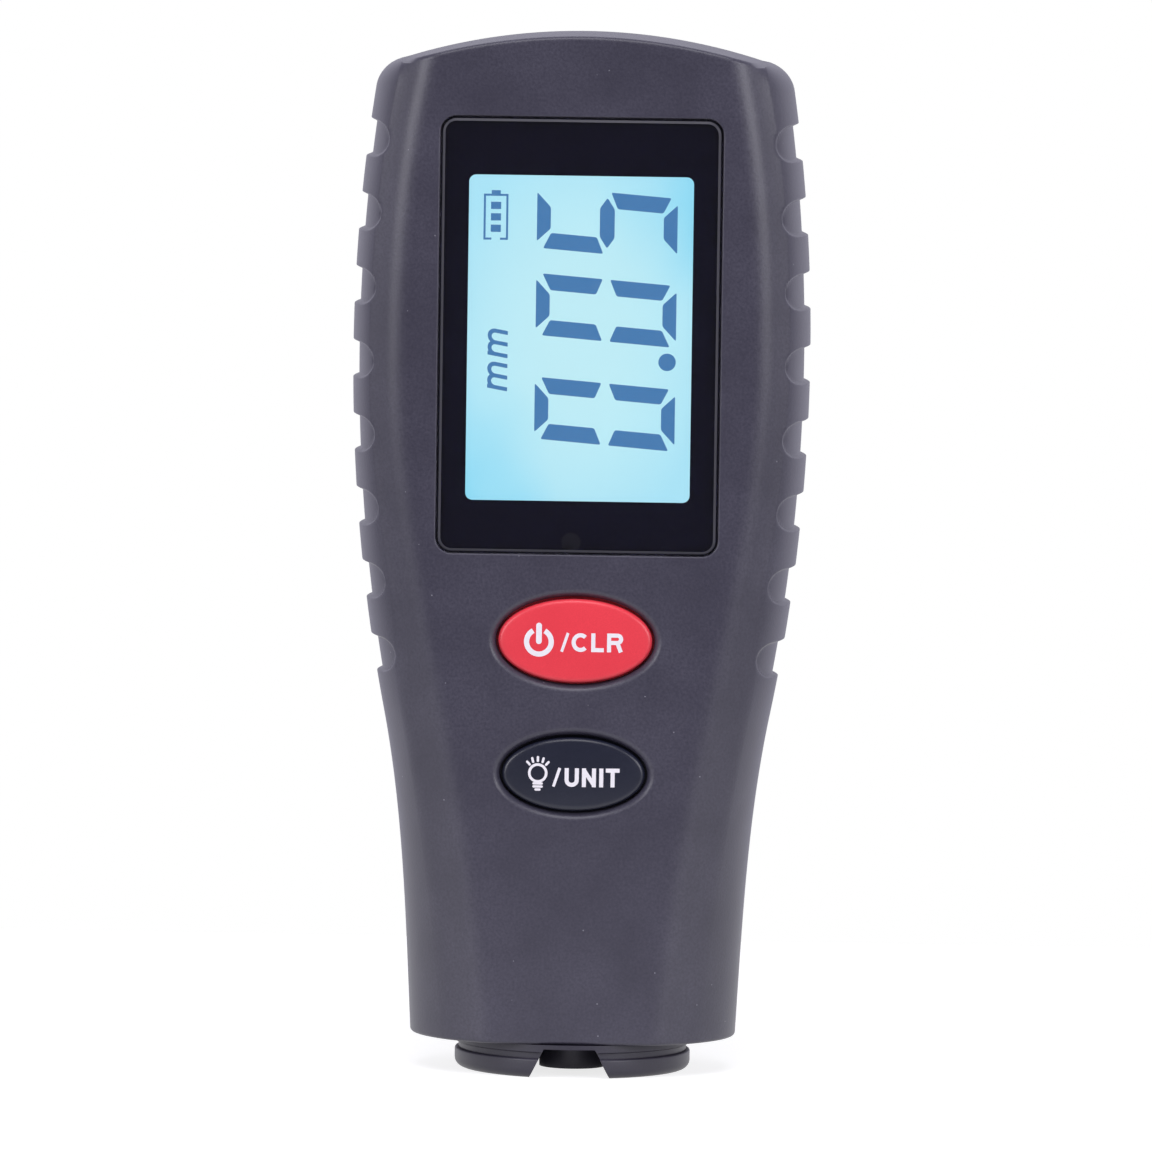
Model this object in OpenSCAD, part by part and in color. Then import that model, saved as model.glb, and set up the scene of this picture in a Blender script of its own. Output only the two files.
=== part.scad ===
// Handheld coating thickness gauge, standing on its probe collar.
// Two moulded half shells hold a display, two keys, a pair of cells and a sprung probe.
// Millimetres. Z is up from the foot plane, the front faces -Y, the shells part at Y = 0.

/* [Housing outline] */
// Width across the foot of the housing
foot_w = 34.5; // [32:0.5:38]
// Width at the waist, just below the grip
waist_w = 41; // [39:0.5:43]
// Width at the widest place
body_w = 48.4; // [46:0.2:54]
// Width at the shoulders
shoulder_w = 44.2; // [43:0.2:46]
// Height of the waist above the foot plane
waist_z = 38; // [34:1:42]
// Drop from the crown to the widest place
belly_drop = 34; // [30:1:40]
// Drop from the crown to the shoulders
shoulder_drop = 6; // [5:0.5:8]
// Outward slope of the side at the foot
foot_flare = 0.055; // [0:0.005:0.1]
// Outward slope of the side at the waist
waist_flare = 0.2; // [0.1:0.01:0.25]
// Inward slope of the side at the shoulders
shoulder_taper = 0.15; // [0.05:0.01:0.25]
// Radius between each shoulder and the crown
shoulder_r = 3; // [2:0.25:4]
// Radius of the crown, seen from the front
crown_r = 62; // [56:1:90]
// Rounding of the crown's front and rear edges
crown_edge_r = 0.8; // [0.6:0.1:1.8]
// Wall of both shells
wall = 2; // [1.8:0.1:2.6]

/* [Front and rear panels] */
// Margin from the side to the flat panel at the foot
foot_margin = 8; // [7:0.1:9]
// Margin from the side to the flat panel at the waist
waist_margin = 6.3; // [5.5:0.1:7]
// Margin from the side to the flat panel at the widest place
belly_margin = 4.85; // [4:0.05:5.5]
// Margin from the side to the flat panel at the shoulders
shoulder_margin = 5.2; // [4.5:0.1:6]
// Width of the bevel beside the panel at the foot
foot_bevel_w = 3.7; // [3:0.1:4.5]
// Fall of the bevel at the foot
foot_bevel_fall = 2.7; // [2:0.1:3.2]
// Width of the bevel beside the panel at the head
head_bevel_w = 1.9; // [1.4:0.1:2.4]
// Fall of the bevel at the head
head_bevel_fall = 1.5; // [1:0.1:2]
// Height over which the plain flank grows into the grip
flank_change = 14; // [8:1:20]

/* [Grip] */
// Number of grip pockets on each side
pocket_count = 8; // [4:1:8]
// Spacing of the grip pockets
pocket_pitch = 7.79; // [6.5:0.01:7.9]
// Height of one pocket
pocket_h = 3.68; // [2.5:0.02:4.5]
// Depth of a pocket below the skin
pocket_depth = 0.65; // [0.4:0.05:0.9]
// Reach of a pocket inward from the side
pocket_reach = 2.45; // [2:0.05:3]
// Drop from the crown to the first pocket
pocket_drop = 11.4; // [10:0.1:13]

/* [Display] */
// Width of the window recess
window_w = 29.65; // [27:0.05:31]
// Height of the window recess
window_h = 45.9; // [43:0.1:48]
// Corner radius of the window recess
window_r = 1.7; // [1:0.1:3]
// Gap from the power key to the window
window_gap = 4.65; // [3.5:0.05:7]
// Margin from the window to the top of the crown
crown_margin = 8.8; // [8:0.1:14]
// Thickness of the window
window_t = 1; // [0.8:0.1:1.2]
// Thickness of the adhesive under the window
tape_t = 0.15; // [0.1:0.01:0.2]
// Gap round the window in its recess
window_fit = 0.12; // [0.05:0.01:0.3]
// Width of the opening to the display
view_w = 24.6; // [22:0.1:25.5]
// Height of the opening to the display
view_h = 35.3; // [32:0.1:36]
// Width of the display glass
glass_w = 27; // [26:0.1:28]
// Height of the display glass
glass_h = 38.5; // [37.5:0.1:40]
// Thickness of one sheet of display glass
glass_t = 1; // [0.7:0.1:1.2]
// Thickness of the backlight
backlight_t = 2.4; // [1.8:0.1:3]
// Width of a contact strip, which is also the bare ledge of the front glass
strip_w = 1.8; // [1.2:0.1:2.4]
// Length of the rails beside the display glass
rail_l = 8.3; // [6:0.1:12]
// Margin of the backlight inside the edge of the glass
backlight_margin = 0.3; // [0.1:0.05:0.6]

/* [Keys] */
// Width of the power key
power_key_w = 16.2; // [14:0.1:18]
// Height of the power key
power_key_h = 8.8; // [7:0.1:10]
// Width of the unit key
unit_key_w = 15; // [13:0.1:17]
// Height of the unit key
unit_key_h = 7.7; // [6.5:0.1:9]
// Spacing of the two keys
key_pitch = 14.05; // [13:0.05:17]
// Height of the unit key above the lower edge of the board
key_rise = 4.2; // [4:0.1:7]
// How far a key's middle stands proud of the panel
key_proud = 0.3; // [0:0.05:0.6]
// Radius of the crown of a key
key_crown_r = 48; // [36:1:80]
// Gap round a key in its hole
key_fit = 0.25; // [0.15:0.01:0.4]
// Width of the sunk lip round a key
lip_w = 0.9; // [0.5:0.05:1.2]
// Depth of the sunk lip
lip_depth = 0.7; // [0.4:0.05:1]
// Reach of a key's retaining rim behind the panel
rim_w = 0.9; // [0.6:0.1:1.2]
// Thickness of a key's retaining rim
rim_t = 0.8; // [0.6:0.1:1]
// Travel of a key
key_travel = 0.6; // [0.3:0.05:0.6]
// Width of a switch
switch_w = 6; // [5:0.1:6.5]
// Height of a switch body
switch_h = 1.6; // [1.4:0.1:1.8]
// Radius of a switch plunger
plunger_r = 1.2; // [1:0.05:1.5]

/* [Board] */
// Thickness of the board
board_t = 1.2; // [0.8:0.1:1.6]
// Gap between the board's edge and the shell
board_side_gap = 4.2; // [4:0.1:6]
// Gap between the board's neck and the shell at the waist
board_neck_gap = 6; // [5:0.1:7]
// Drop from the top of the window to the upper edge of the board
board_drop = 3; // [2:0.1:4]
// Room behind the board for its parts
part_gap = 2.6; // [2.4:0.1:3.5]
// Gap between the probe guide and the board
board_gap = 1.5; // [1:0.1:3]
// Width of the microcontroller body
chip_w = 10; // [8:0.5:11]
// Height of the microcontroller body
chip_t = 1.2; // [1:0.1:1.4]

/* [Collar and probe] */
// Radius of the probe collar
collar_r = 12.5; // [11.6:0.1:13]
// Height of the collar below the housing
foot_h = 3.6; // [3.4:0.1:5]
// Height of the collar's lower ring
ring_h = 1.75; // [1.5:0.05:2]
// Height of the groove above the ring
groove_h = 0.9; // [0.6:0.05:1]
// Depth of the groove above the ring
groove_depth = 0.7; // [0.3:0.05:1]
// Rounding of the ring's lower edge
ring_edge_r = 0.7; // [0.3:0.05:0.9]
// Half width of the positioning notch at the foot plane
notch_foot_w = 4.25; // [3.9:0.05:5]
// Half width of the positioning notch at its roof
notch_roof_w = 2.7; // [2:0.05:3.2]
// Height of the positioning notch
notch_h = 3.1; // [2.6:0.05:3.2]
// Radius of the collar's neck in the housing
neck_r = 8.6; // [8:0.1:8.8]
// Width of the collar's shoulder inside the housing
neck_shoulder_w = 1; // [0.6:0.1:1.1]
// Height of the collar's shoulder
neck_shoulder_h = 1.8; // [1.2:0.1:2.5]
// Gap round the neck in the housing
neck_fit = 0.1; // [0.05:0.01:0.2]
// Radius of the collar's tube
tube_r = 7; // [6.6:0.1:7.4]
// Wall of the collar's tube
tube_wall = 1.7; // [1.2:0.1:1.8]
// Height of the collar's tube above the foot plane
tube_top = 24; // [20:0.5:28]
// Radius of the probe
probe_r = 3.5; // [3.3:0.05:3.8]
// Running fit of the probe and of its stem
probe_fit = 0.05; // [0.02:0.01:0.1]
// Height of the bore that guides the probe
guide_bore_h = 10; // [8:0.5:12]
// How far the probe reaches below the foot plane when it hangs free
probe_out = 0.5; // [0.3:0.05:0.8]
// How far the probe can be pushed in
probe_in = 1.5; // [0.5:0.1:2]
// Gap between the board and the probe's stem when the probe is pushed in
stem_gap = 1; // [0.5:0.1:1.5]
// Width of the probe's spring seat
seat_w = 1.5; // [1:0.1:1.6]
// Thickness of the probe's spring seat
seat_t = 1.4; // [1:0.1:2]
// Radius of the probe's stem
stem_r = 1.6; // [1.2:0.05:1.8]
// Thickness of the probe guide's plate
guide_t = 2.5; // [2:0.1:3]
// Depth of the probe guide's plug in the tube
guide_plug_h = 1.2; // [0.8:0.1:2]
// Wire radius of the probe spring
spring_wire_r = 0.3; // [0.2:0.02:0.4]
// Turns of the probe spring
spring_turns = 6; // [4:1:8]
// Radius of the probe's hard tip
tip_r = 0.9; // [0.6:0.05:1.2]
// Wall of the probe round its coil
probe_wall = 0.9; // [0.7:0.05:1.1]

/* [Cells and battery bay] */
// Diameter of a cell
cell_d = 10.5; // [9.5:0.1:11]
// Length of a cell with its nub
cell_l = 44.5; // [42:0.1:46]
// Height of a cell's nub
nub_h = 1; // [0.8:0.1:1.3]
// Radius of a cell's nub
nub_r = 1.9; // [1.5:0.1:2.2]
// Gap between the cells, and between a cell and the bay's side
cell_side_gap = 0.4; // [0.2:0.05:0.8]
// Gap between a cell and the bay's floor
cell_gap = 0.1; // [0.05:0.01:0.3]
// Thickness of the bay's floor
floor_t = 1; // [0.8:0.1:1.4]
// Thickness of the bay's side and end walls
bay_wall = 1.2; // [1:0.1:1.6]
// Drop from the top of the window to the upper end of the bay
bay_drop = 4.7; // [4:0.1:6]
// Length of a compressed contact spring
contact_spring_l = 4.2; // [3.5:0.1:5]
// Wire radius of a contact spring
contact_wire_r = 0.3; // [0.2:0.02:0.4]
// Thickness of a contact plate
contact_t = 0.4; // [0.3:0.05:0.6]
// Thickness of the battery door
door_t = 2; // [1.8:0.1:2.4]
// Gap between the cells and the door
door_gap = 0.2; // [0.1:0.01:0.4]
// Ledge that carries the door's edge
door_ledge = 1; // [0.8:0.1:1.2]
// Gap round the door in its opening
door_fit = 0.15; // [0.1:0.01:0.3]
// Corner radius of the door
door_r = 1.5; // [1:0.1:2.5]

/* [Screws] */
// Shank radius of a housing screw
screw_r = 1.2; // [1:0.05:1.3]
// Head radius of a housing screw
screw_head_r = 2.2; // [1.9:0.05:2.3]
// Head height of a housing screw
screw_head_h = 1.8; // [1.4:0.1:2]
// Length of a housing screw's shank
screw_l = 9; // [7:0.5:10]
// Depth from the parting plane at which a housing screw's head sits
screw_seat = 4; // [3:0.25:5]
// Clearance of a housing screw in the rear shell
screw_clear = 0.2; // [0.1:0.05:0.3]
// Wall of a housing boss round its screw's head
boss_wall = 0.6; // [0.5:0.05:0.8]
// Gap between an upper boss and the shell's side
boss_side_gap = 0.8; // [0.5:0.1:1.5]
// Gap between a lower boss and the collar's tube
boss_tube_gap = 1.8; // [1:0.1:2.4]
// Drop from the shoulders to the upper screws
upper_screw_drop = 4; // [3:0.5:6]
// Rise of the lower screws above the floor of the housing
lower_screw_rise = 10.4; // [9:0.2:12]
// Shank radius of a board screw
board_screw_r = 0.9; // [0.8:0.05:1]
// Wall of a board boss round its screw
board_boss_wall = 1.1; // [0.9:0.1:1.3]
// Gap between a board boss and the display glass
board_boss_gap = 0.3; // [0.2:0.05:0.6]
// Rise of the lower board screws above the power key
board_screw_rise = 8; // [7:0.5:10]
// Drop from the top of the window to the upper board screws
board_screw_drop = 10; // [8:0.5:12]
// Clearance of a screw in its pilot hole
pilot_fit = 0.05; // [0.04:0.01:0.1]

/* [Hidden] */
$fn = 64;

// Heights, stacked up from the foot plane
bottom_z = foot_h;
guide_top = tube_top + guide_t;
board_z0 = guide_top + board_gap;
unit_key_z = board_z0 + key_rise;
power_key_z = unit_key_z + key_pitch;
window_z0 = power_key_z + power_key_h / 2 + window_gap;
window_z1 = window_z0 + window_h;
window_zc = (window_z0 + window_z1) / 2;
body_h = window_z1 + crown_margin;
belly_z = body_h - belly_drop;
shoulder_z = body_h - shoulder_drop;
board_z1 = window_z1 - board_drop;
bay_l = cell_l + contact_spring_l + 2 * contact_t;
bay_z1 = window_z1 - bay_drop;
bay_z0 = bay_z1 - bay_l;

// Depths, stacked from the front face to the rear face
body_d = wall + 2 * glass_t + backlight_t + board_t + part_gap + floor_t
       + cell_gap + cell_d + door_gap + door_t;
half_d = body_d / 2;
face_y = -half_d;
inner_y = face_y + wall;
front_glass_y = inner_y + glass_t;
rear_glass_y = front_glass_y + glass_t;
board_y = rear_glass_y + backlight_t;
board_back_y = board_y + board_t;
floor_y = board_back_y + part_gap;
bay_y = floor_y + floor_t;
cell_y = bay_y + cell_gap + cell_d / 2;
door_y = half_d - door_t;
recess_y = face_y + window_t + tape_t;

// Battery bay and door
cell_x = (cell_d + cell_side_gap) / 2;
bay_half_w = cell_d + 1.5 * cell_side_gap;
door_w = 2 * (bay_half_w + door_ledge);
door_z0 = bay_z0 - door_ledge;
door_z1 = bay_z1 + door_ledge;
door_h = door_z1 - door_z0;
tab_w = 2.5;
tab_t = 1.25;
tab_rise = 1.5;
tab_x = bay_half_w - tab_w / 2 - cell_side_gap;
tab_z0 = bay_z1 - contact_t - nub_h + cell_side_gap;
tab_room = 2;
rib_w = 2 * cell_d / 3;
rib_h = cell_d / 7;
rib_t = 1;
thumb_grooves = 5;
thumb_rise = 4;
thumb_groove_l = cell_d;
thumb_pitch = 1.6;
thumb_groove_w = 0.7;
thumb_groove_depth = 0.5;

// Screw places
boss_r = screw_head_r + boss_wall;
upper_screw_x = shoulder_w / 2 - wall - boss_r - boss_side_gap;
upper_screw_z = shoulder_z - upper_screw_drop;
lower_screw_x = tube_r + boss_r + boss_tube_gap;
lower_screw_z = bottom_z + wall + lower_screw_rise;
board_boss_r = board_screw_r + board_boss_wall;
board_half_w = body_w / 2 - wall - board_side_gap;
board_screw_x = glass_w / 2 + board_boss_r + board_boss_gap;
board_screw_z = [power_key_z + board_screw_rise, window_z1 - board_screw_drop];
board_neck_w = waist_w / 2 - wall - board_neck_gap;
board_screw_head_r = 1.9 * board_screw_r;
board_screw_head_h = 1.2;
board_screw_l = 4.4;
switch_floor = 0.2;
fit = 0.05;

// Probe places
bore_r = probe_r + probe_fit;
chamber_r = tube_r - tube_wall;
probe_seat_z = guide_bore_h + probe_out + 2 * fit;
spring_z0 = probe_seat_z + seat_t;
spring_z1 = tube_top - guide_plug_h;
spring_r = (stem_r + chamber_r) / 2;
stem_top = board_z0 - probe_in - stem_gap;
coil_room_r = probe_r - probe_wall;
coil_room_h = guide_bore_h - 1;
tip_plate_z = 0.1;
tip_plate_t = 1;
core_r = 1;

// Shape of the flanks
side_slopes = [foot_flare, waist_flare, 0, -shoulder_taper];
margin_slopes = [-0.035, 0, 0, 0.05];
panel_share = 0.4;
bevel_limit = 0.8;
lean_share = 0.52;
foot_lean = 2.2;
head_lean = 0.2;
foot_round = 0.33;
head_round = 0.46;
flank_steps = 6;
skin_levels = 24;
cavity_levels = 10;
shell_fn = 24;
over = 1;

function mix(a, b, t) = a + (b - a) * t;
function ease(t) = let (u = min(max(t, 0), 1)) u * u * (3 - 2 * u);
function hermite(t, a, da, b, db) =
    (2 * t ^ 3 - 3 * t ^ 2 + 1) * a + (t ^ 3 - 2 * t ^ 2 + t) * da
    + (3 * t ^ 2 - 2 * t ^ 3) * b + (t ^ 3 - t ^ 2) * db;
function span(z, z0, z1, a, da, b, db) =
    hermite((z - z0) / (z1 - z0), a, da * (z1 - z0), b, db * (z1 - z0));
function bezier(t, a, b, c, d) =
    (1 - t) ^ 3 * a + 3 * t * (1 - t) ^ 2 * b + 3 * t ^ 2 * (1 - t) * c + t ^ 3 * d;

// A value that runs smoothly through foot, waist, belly and shoulder
function run(z, v, s) =
    z <= waist_z ? span(z, bottom_z, waist_z, v[0], s[0], v[1], s[1])
    : z <= belly_z ? span(z, waist_z, belly_z, v[1], s[1], v[2], s[2])
    : z <= shoulder_z ? span(z, belly_z, shoulder_z, v[2], s[2], v[3], s[3])
    : v[3] + s[3] * (min(z, shoulder_z + shoulder_r) - shoulder_z);

function side(z) = run(z, [foot_w, waist_w, body_w, shoulder_w] / 2, side_slopes);
function margin(z) = run(z, [foot_margin, waist_margin, belly_margin, shoulder_margin], margin_slopes);
function shoulder_turn(z) =
    let (h = min(max(z - shoulder_z, 0), shoulder_r)) shoulder_r - sqrt(shoulder_r ^ 2 - h ^ 2);
function half_w(z) = side(z) - shoulder_turn(z);
function half_panel(z) = side(z) - margin(z);
function head(z) = ease((z - waist_z) / flank_change);

// Half of a shell's section at one height, from the parting plane to the edge of the panel
function flank(z, inset) =
    let (w = half_w(z) - inset, c = half_panel(z) - panel_share * inset, h = half_d - inset)
    let (bevel_w = mix(foot_bevel_w, head_bevel_w, head(z)))
    let (bevel_fall = mix(foot_bevel_fall, head_bevel_fall, head(z)))
    let (foot = [min(c + bevel_w, mix(c, w, bevel_limit)), h - bevel_fall])
    let (lean = [lean_share * (w - foot.x), -mix(foot_lean, head_lean, head(z))])
    let (turn = [w, h * mix(foot_round, head_round, head(z))])
    concat(
        [for (i = [0:flank_steps]) bezier(i / flank_steps, [w, 0], turn, foot + lean, foot)],
        [[c, h]]
    );

// The section's whole ring, with a stub behind the parting plane where stub is over 0
function ring(z, inset, stub) =
    let (f = flank(z, inset))
    let (right = stub > 0 ? concat([[f[0].x, -stub]], f) : f, m = len(right))
    concat([for (p = right) [p.x, -p.y, z]], [for (i = [m - 1:-1:0]) [-right[i].x, -right[i].y, z]]);

function levels(z0, count) = concat(
    [for (i = [0:count]) mix(z0, shoulder_z, i / count)],
    [for (a = [20:17.5:90]) shoulder_z + shoulder_r * sin(a)],
    [body_h + over]
);

// Front half of the body without its crown, drawn in from the skin by inset
module half_loft(inset, z0, count, stub) {
    zs = levels(z0, count);
    rings = [for (z = zs) ring(z, inset, stub)];
    n = len(rings[0]);
    last = len(zs) - 1;
    points = [for (r = rings) for (p = r) p];
    walls = [
        for (i = [0:last - 1]) for (j = [0:n - 1])
            let (a = i * n + j, b = i * n + (j + 1) % n)
            for (t = [[a, b, a + n], [b, b + n, a + n]]) t
    ];
    bottom = [for (j = [n - 1:-1:0]) j];
    top = [for (j = [0:n - 1]) last * n + j];
    polyhedron(points, concat(walls, [bottom, top]), convexity = 8);
}

// Disc with a rounded rim, whose upper edge is the crown of the housing
module crown(inset) {
    r = crown_r - inset;
    h = half_d - inset;
    e = max(crown_edge_r - inset, fit);
    rim = [for (a = [0:22.5:90]) [r - e + e * sin(a), h - e + e * cos(a)]];
    translate([0, 0, body_h - crown_r])
        rotate([90, 0, 0])
            rotate_extrude($fn = 120)
                polygon(concat([[0, h]], rim, [for (i = [len(rim) - 1:-1:0]) [rim[i].x, -rim[i].y]], [[0, -h]]));
}

module half_skin() {
    intersection() {
        half_loft(0, bottom_z, skin_levels, 0);
        crown(0);
    }
}

module half_cavity() {
    intersection() {
        half_loft(wall, bottom_z + wall, cavity_levels, over);
        crown(wall);
    }
}

// Row of grip pockets on both sides, cut down to a floor that follows the skin
module grip_pockets() {
    difference() {
        for (s = [-1, 1], k = [0:pocket_count - 1])
            let (z = body_h - pocket_drop - k * pocket_pitch, x = half_w(z) - pocket_reach + pocket_h / 2)
            hull()
                for (dx = [0, pocket_reach])
                    translate([s * (x + dx), over, z])
                        rotate([90, 0, 0])
                            cylinder(d = pocket_h, h = half_d + 2 * over, $fn = 16);
        half_loft(pocket_depth, bottom_z, skin_levels, 2 * over);
    }
}

// Cylinder along Y from y0 to y1
module rod(x, z, r, y0, y1) {
    translate([x, y0, z])
        rotate([-90, 0, 0])
            cylinder(r = r, h = y1 - y0);
}

// Block from y0 to y1, centred on x and z
module block(w, h, y0, y1, x = 0, z = 0) {
    translate([x - w / 2, y0, z - h / 2])
        cube([w, y1 - y0, h]);
}

// Block with its four upright edges rounded
module plate(w, h, r, y0, y1, x = 0, z = 0) {
    block(w - 2 * r, h, y0, y1, x, z);
    block(w, h - 2 * r, y0, y1, x, z);
    for (sx = [-1, 1], sz = [-1, 1])
        rod(x + sx * (w / 2 - r), z + sz * (h / 2 - r), r, y0, y1);
}

// Oval prism along Y
module oval(w, h, y0, y1, z) {
    translate([0, y0, z])
        scale([w / 2, 1, h / 2])
            rotate([-90, 0, 0])
                cylinder(r = 1, h = y1 - y0);
}

module for_screws() {
    for (s = [-1, 1]) {
        translate([s * upper_screw_x, 0, upper_screw_z])
            children();
        translate([s * lower_screw_x, 0, lower_screw_z])
            children();
    }
}

module for_board_screws() {
    for (s = [-1, 1], z = board_screw_z)
        translate([s * board_screw_x, 0, z])
            children();
}

// Through hole for a key and the soft sunk lip round it
module key_hole(w, h, z) {
    hole_w = w + 2 * key_fit;
    hole_h = h + 2 * key_fit;
    oval(hole_w, hole_h, face_y - over, inner_y + over, z);
    translate([0, face_y, z])
        scale([1, 1, (hole_h + 2 * lip_w) / (hole_w + 2 * lip_w)])
            rotate([-90, 0, 0])
                cylinder(r1 = hole_w / 2 + lip_w, r2 = hole_w / 2, h = lip_depth);
}

module collar_hole() {
    translate([0, 0, bottom_z - over])
        cylinder(r = neck_r + neck_fit, h = wall + 2 * over);
}

module front_housing() {
    $fn = shell_fn;
    color("#4b4a52")
    difference() {
        union() {
            difference() {
                half_skin();
                half_cavity();
            }
            intersection() {
                half_skin();
                union() {
                    for_screws()
                        rod(0, 0, boss_r, face_y, 0);
                    for_board_screws()
                        rod(0, 0, board_boss_r, face_y, board_y);
                    for (s = [-1, 1])
                        block(wall / 2, rail_l, face_y + wall / 2, rear_glass_y,
                            s * (glass_w / 2 + fit + wall / 4), window_zc);
                }
            }
        }
        grip_pockets();
        plate(window_w, window_h, window_r, face_y - over, recess_y, 0, window_zc);
        plate(view_w, view_h, window_r / 2, face_y, inner_y + over, 0, window_zc);
        key_hole(power_key_w, power_key_h, power_key_z);
        key_hole(unit_key_w, unit_key_h, unit_key_z);
        collar_hole();
        for_screws()
            rod(0, 0, screw_r + pilot_fit, screw_seat - screw_l - over, over);
        for_board_screws()
            rod(0, 0, board_screw_r + pilot_fit, board_back_y - board_screw_l - fit, board_y + over);
    }
}

module rear_housing() {
    $fn = shell_fn;
    bay_zc = (bay_z0 + bay_z1) / 2;
    color("#4b4a52")
    difference() {
        union() {
            mirror([0, 1, 0])
                difference() {
                    half_skin();
                    half_cavity();
                }
            mirror([0, 1, 0])
                intersection() {
                    half_skin();
                    for_screws()
                        rod(0, 0, boss_r + boss_wall, -half_d, 0);
                }
            block(2 * (bay_half_w + bay_wall), bay_l + 2 * bay_wall, floor_y, door_y + fit, 0, bay_zc);
        }
        mirror([0, 1, 0])
            grip_pockets();
        block(2 * bay_half_w, bay_l, bay_y, half_d + over, 0, bay_zc);
        plate(door_w + 2 * door_fit, door_h + 2 * door_fit, door_r, door_y, half_d + over, 0, bay_zc);
        for (s = [-1, 1])
            block(tab_w + 2 * door_fit, bay_wall + tab_rise + tab_room, door_y - 2 * tab_t, door_y + fit,
                s * tab_x, bay_z1 + bay_wall / 2);
        collar_hole();
        for_screws() {
            rod(0, 0, screw_r + screw_clear, -over, half_d);
            rod(0, 0, screw_head_r + screw_clear, screw_seat, half_d + over);
        }
    }
}

// Hinged at its upper outer edge, with two tabs behind the shell and a snap rib at the foot
module battery_door() {
    zc = (door_z0 + door_z1) / 2;
    color("#47464e")
    difference() {
        union() {
            plate(door_w, door_h, door_r, door_y, half_d, 0, zc);
            for (s = [-1, 1])
                translate([s * tab_x - tab_w / 2, door_y - fit - tab_t, tab_z0])
                    cube([tab_w, tab_t, door_z1 + tab_rise - tab_z0]);
            for (s = [-1, 1])
                translate([s * tab_x - tab_w / 2, door_y - tab_t, tab_z0])
                    cube([tab_w, tab_t + fit, bay_z1 - tab_z0]);
            block(rib_w, rib_t, door_y - rib_h, door_y + fit, 0, bay_z0 + fit + rib_t / 2);
        }
        for (i = [0:thumb_grooves - 1])
            block(thumb_groove_l, thumb_groove_w, half_d - thumb_groove_depth, half_d + over, 0,
                door_z0 + thumb_rise + i * thumb_pitch);
    }
}

module display_window() {
    color("#1b1a24")
        plate(window_w - 2 * window_fit, window_h - 2 * window_fit, window_r - window_fit,
            face_y, face_y + window_t, 0, window_zc);
}

module window_tape() {
    frame_w = (window_w - view_w) / 2 - window_fit;
    color("#222222")
    difference() {
        plate(window_w - 4 * window_fit, window_h - 4 * window_fit, window_r - 2 * window_fit,
            face_y + window_t, recess_y, 0, window_zc);
        plate(window_w - 2 * frame_w, view_h + 2 * window_fit, window_r / 2,
            face_y, recess_y + over, 0, window_zc);
    }
}

// Front sheet overhangs the rear sheet at both ends, where the contact strips press
module lcd_glass() {
    color("#b9eef8") {
        block(glass_w, glass_h, inner_y, front_glass_y, 0, window_zc);
        block(glass_w, glass_h - 2 * strip_w - 4 * fit, front_glass_y - fit, rear_glass_y, 0, window_zc);
    }
}

module lcd_backlight() {
    led_w = 3;
    w = glass_w - 2 * backlight_margin;
    color("#dff6fb") {
        block(w, glass_h - 2 * strip_w - 4 * fit, rear_glass_y, board_y, 0, window_zc);
        block(w + led_w, led_w, rear_glass_y + backlight_t / 2, board_y, led_w / 2, window_zc);
    }
}

module lcd_contact_strips() {
    color("#c9c4bd")
    for (s = [-1, 1])
        block(view_w, strip_w, front_glass_y, board_y, 0, window_zc + s * (glass_h - strip_w) / 2);
}

module main_board() {
    neck_top = unit_key_z + unit_key_h / 2 + rim_w;
    shoulder = power_key_z + board_screw_rise - 3 * board_boss_r;
    color("#2f6b45")
    difference() {
        union() {
            translate([0, board_back_y, 0])
                rotate([90, 0, 0])
                    linear_extrude(board_t)
                        polygon([
                            [-board_neck_w, board_z0], [board_neck_w, board_z0],
                            [board_neck_w, neck_top], [board_half_w, shoulder],
                            [board_half_w, board_z1], [-board_half_w, board_z1],
                            [-board_half_w, shoulder], [-board_neck_w, neck_top]
                        ]);
            for_board_screws()
                rod(0, 0, board_boss_r, board_y, board_back_y);
        }
        for_board_screws()
            rod(0, 0, board_screw_r + 2 * fit, board_y - over, board_back_y + over);
        for_screws()
            rod(0, 0, boss_r + 6 * fit, board_y - over, board_back_y + over);
    }
}

// Square package with a row of bent leads on each edge
module microcontroller() {
    leads = 10;
    corner = 1.5;
    pitch = chip_w / (leads + corner);
    lead_w = 0.4 * pitch;
    lead_l = 1;
    body_y = board_back_y + 2 * fit;
    z = (unit_key_z + power_key_z) / 2;
    color("#26262a") {
        block(chip_w, chip_w, body_y, body_y + chip_t, 0, z);
        for (turn = [0:90:270], i = [0:leads - 1])
            translate([0, 0, z])
                rotate([0, turn, 0])
                    translate([chip_w / 2 - fit, board_back_y, (i - (leads - 1) / 2) * pitch - lead_w / 2]) {
                        cube([lead_l, lead_w, lead_w]);
                        cube([lead_l / 2, chip_t / 2, lead_w]);
                    }
    }
}

module crystal() {
    can_w = 3.2;
    can_l = 5;
    can_r = 0.6;
    edge_gap = 1.4;
    color("#b8b8ba")
        plate(can_w, can_l, can_r, board_back_y, board_back_y + chip_t,
            board_neck_w - edge_gap - can_w / 2, unit_key_z + can_l / 2);
}

module capacitors() {
    count = 3;
    block_w = 1.25;
    block_l = 2;
    block_t = 0.9;
    pitch = 3.5;
    edge_gap = 2.4;
    color("#b79a6a")
    for (i = [0:count - 1])
        block(block_w, block_l, board_back_y, board_back_y + block_t,
            edge_gap + block_w / 2 - board_neck_w, unit_key_z + pitch * (i - 0.5));
}

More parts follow.
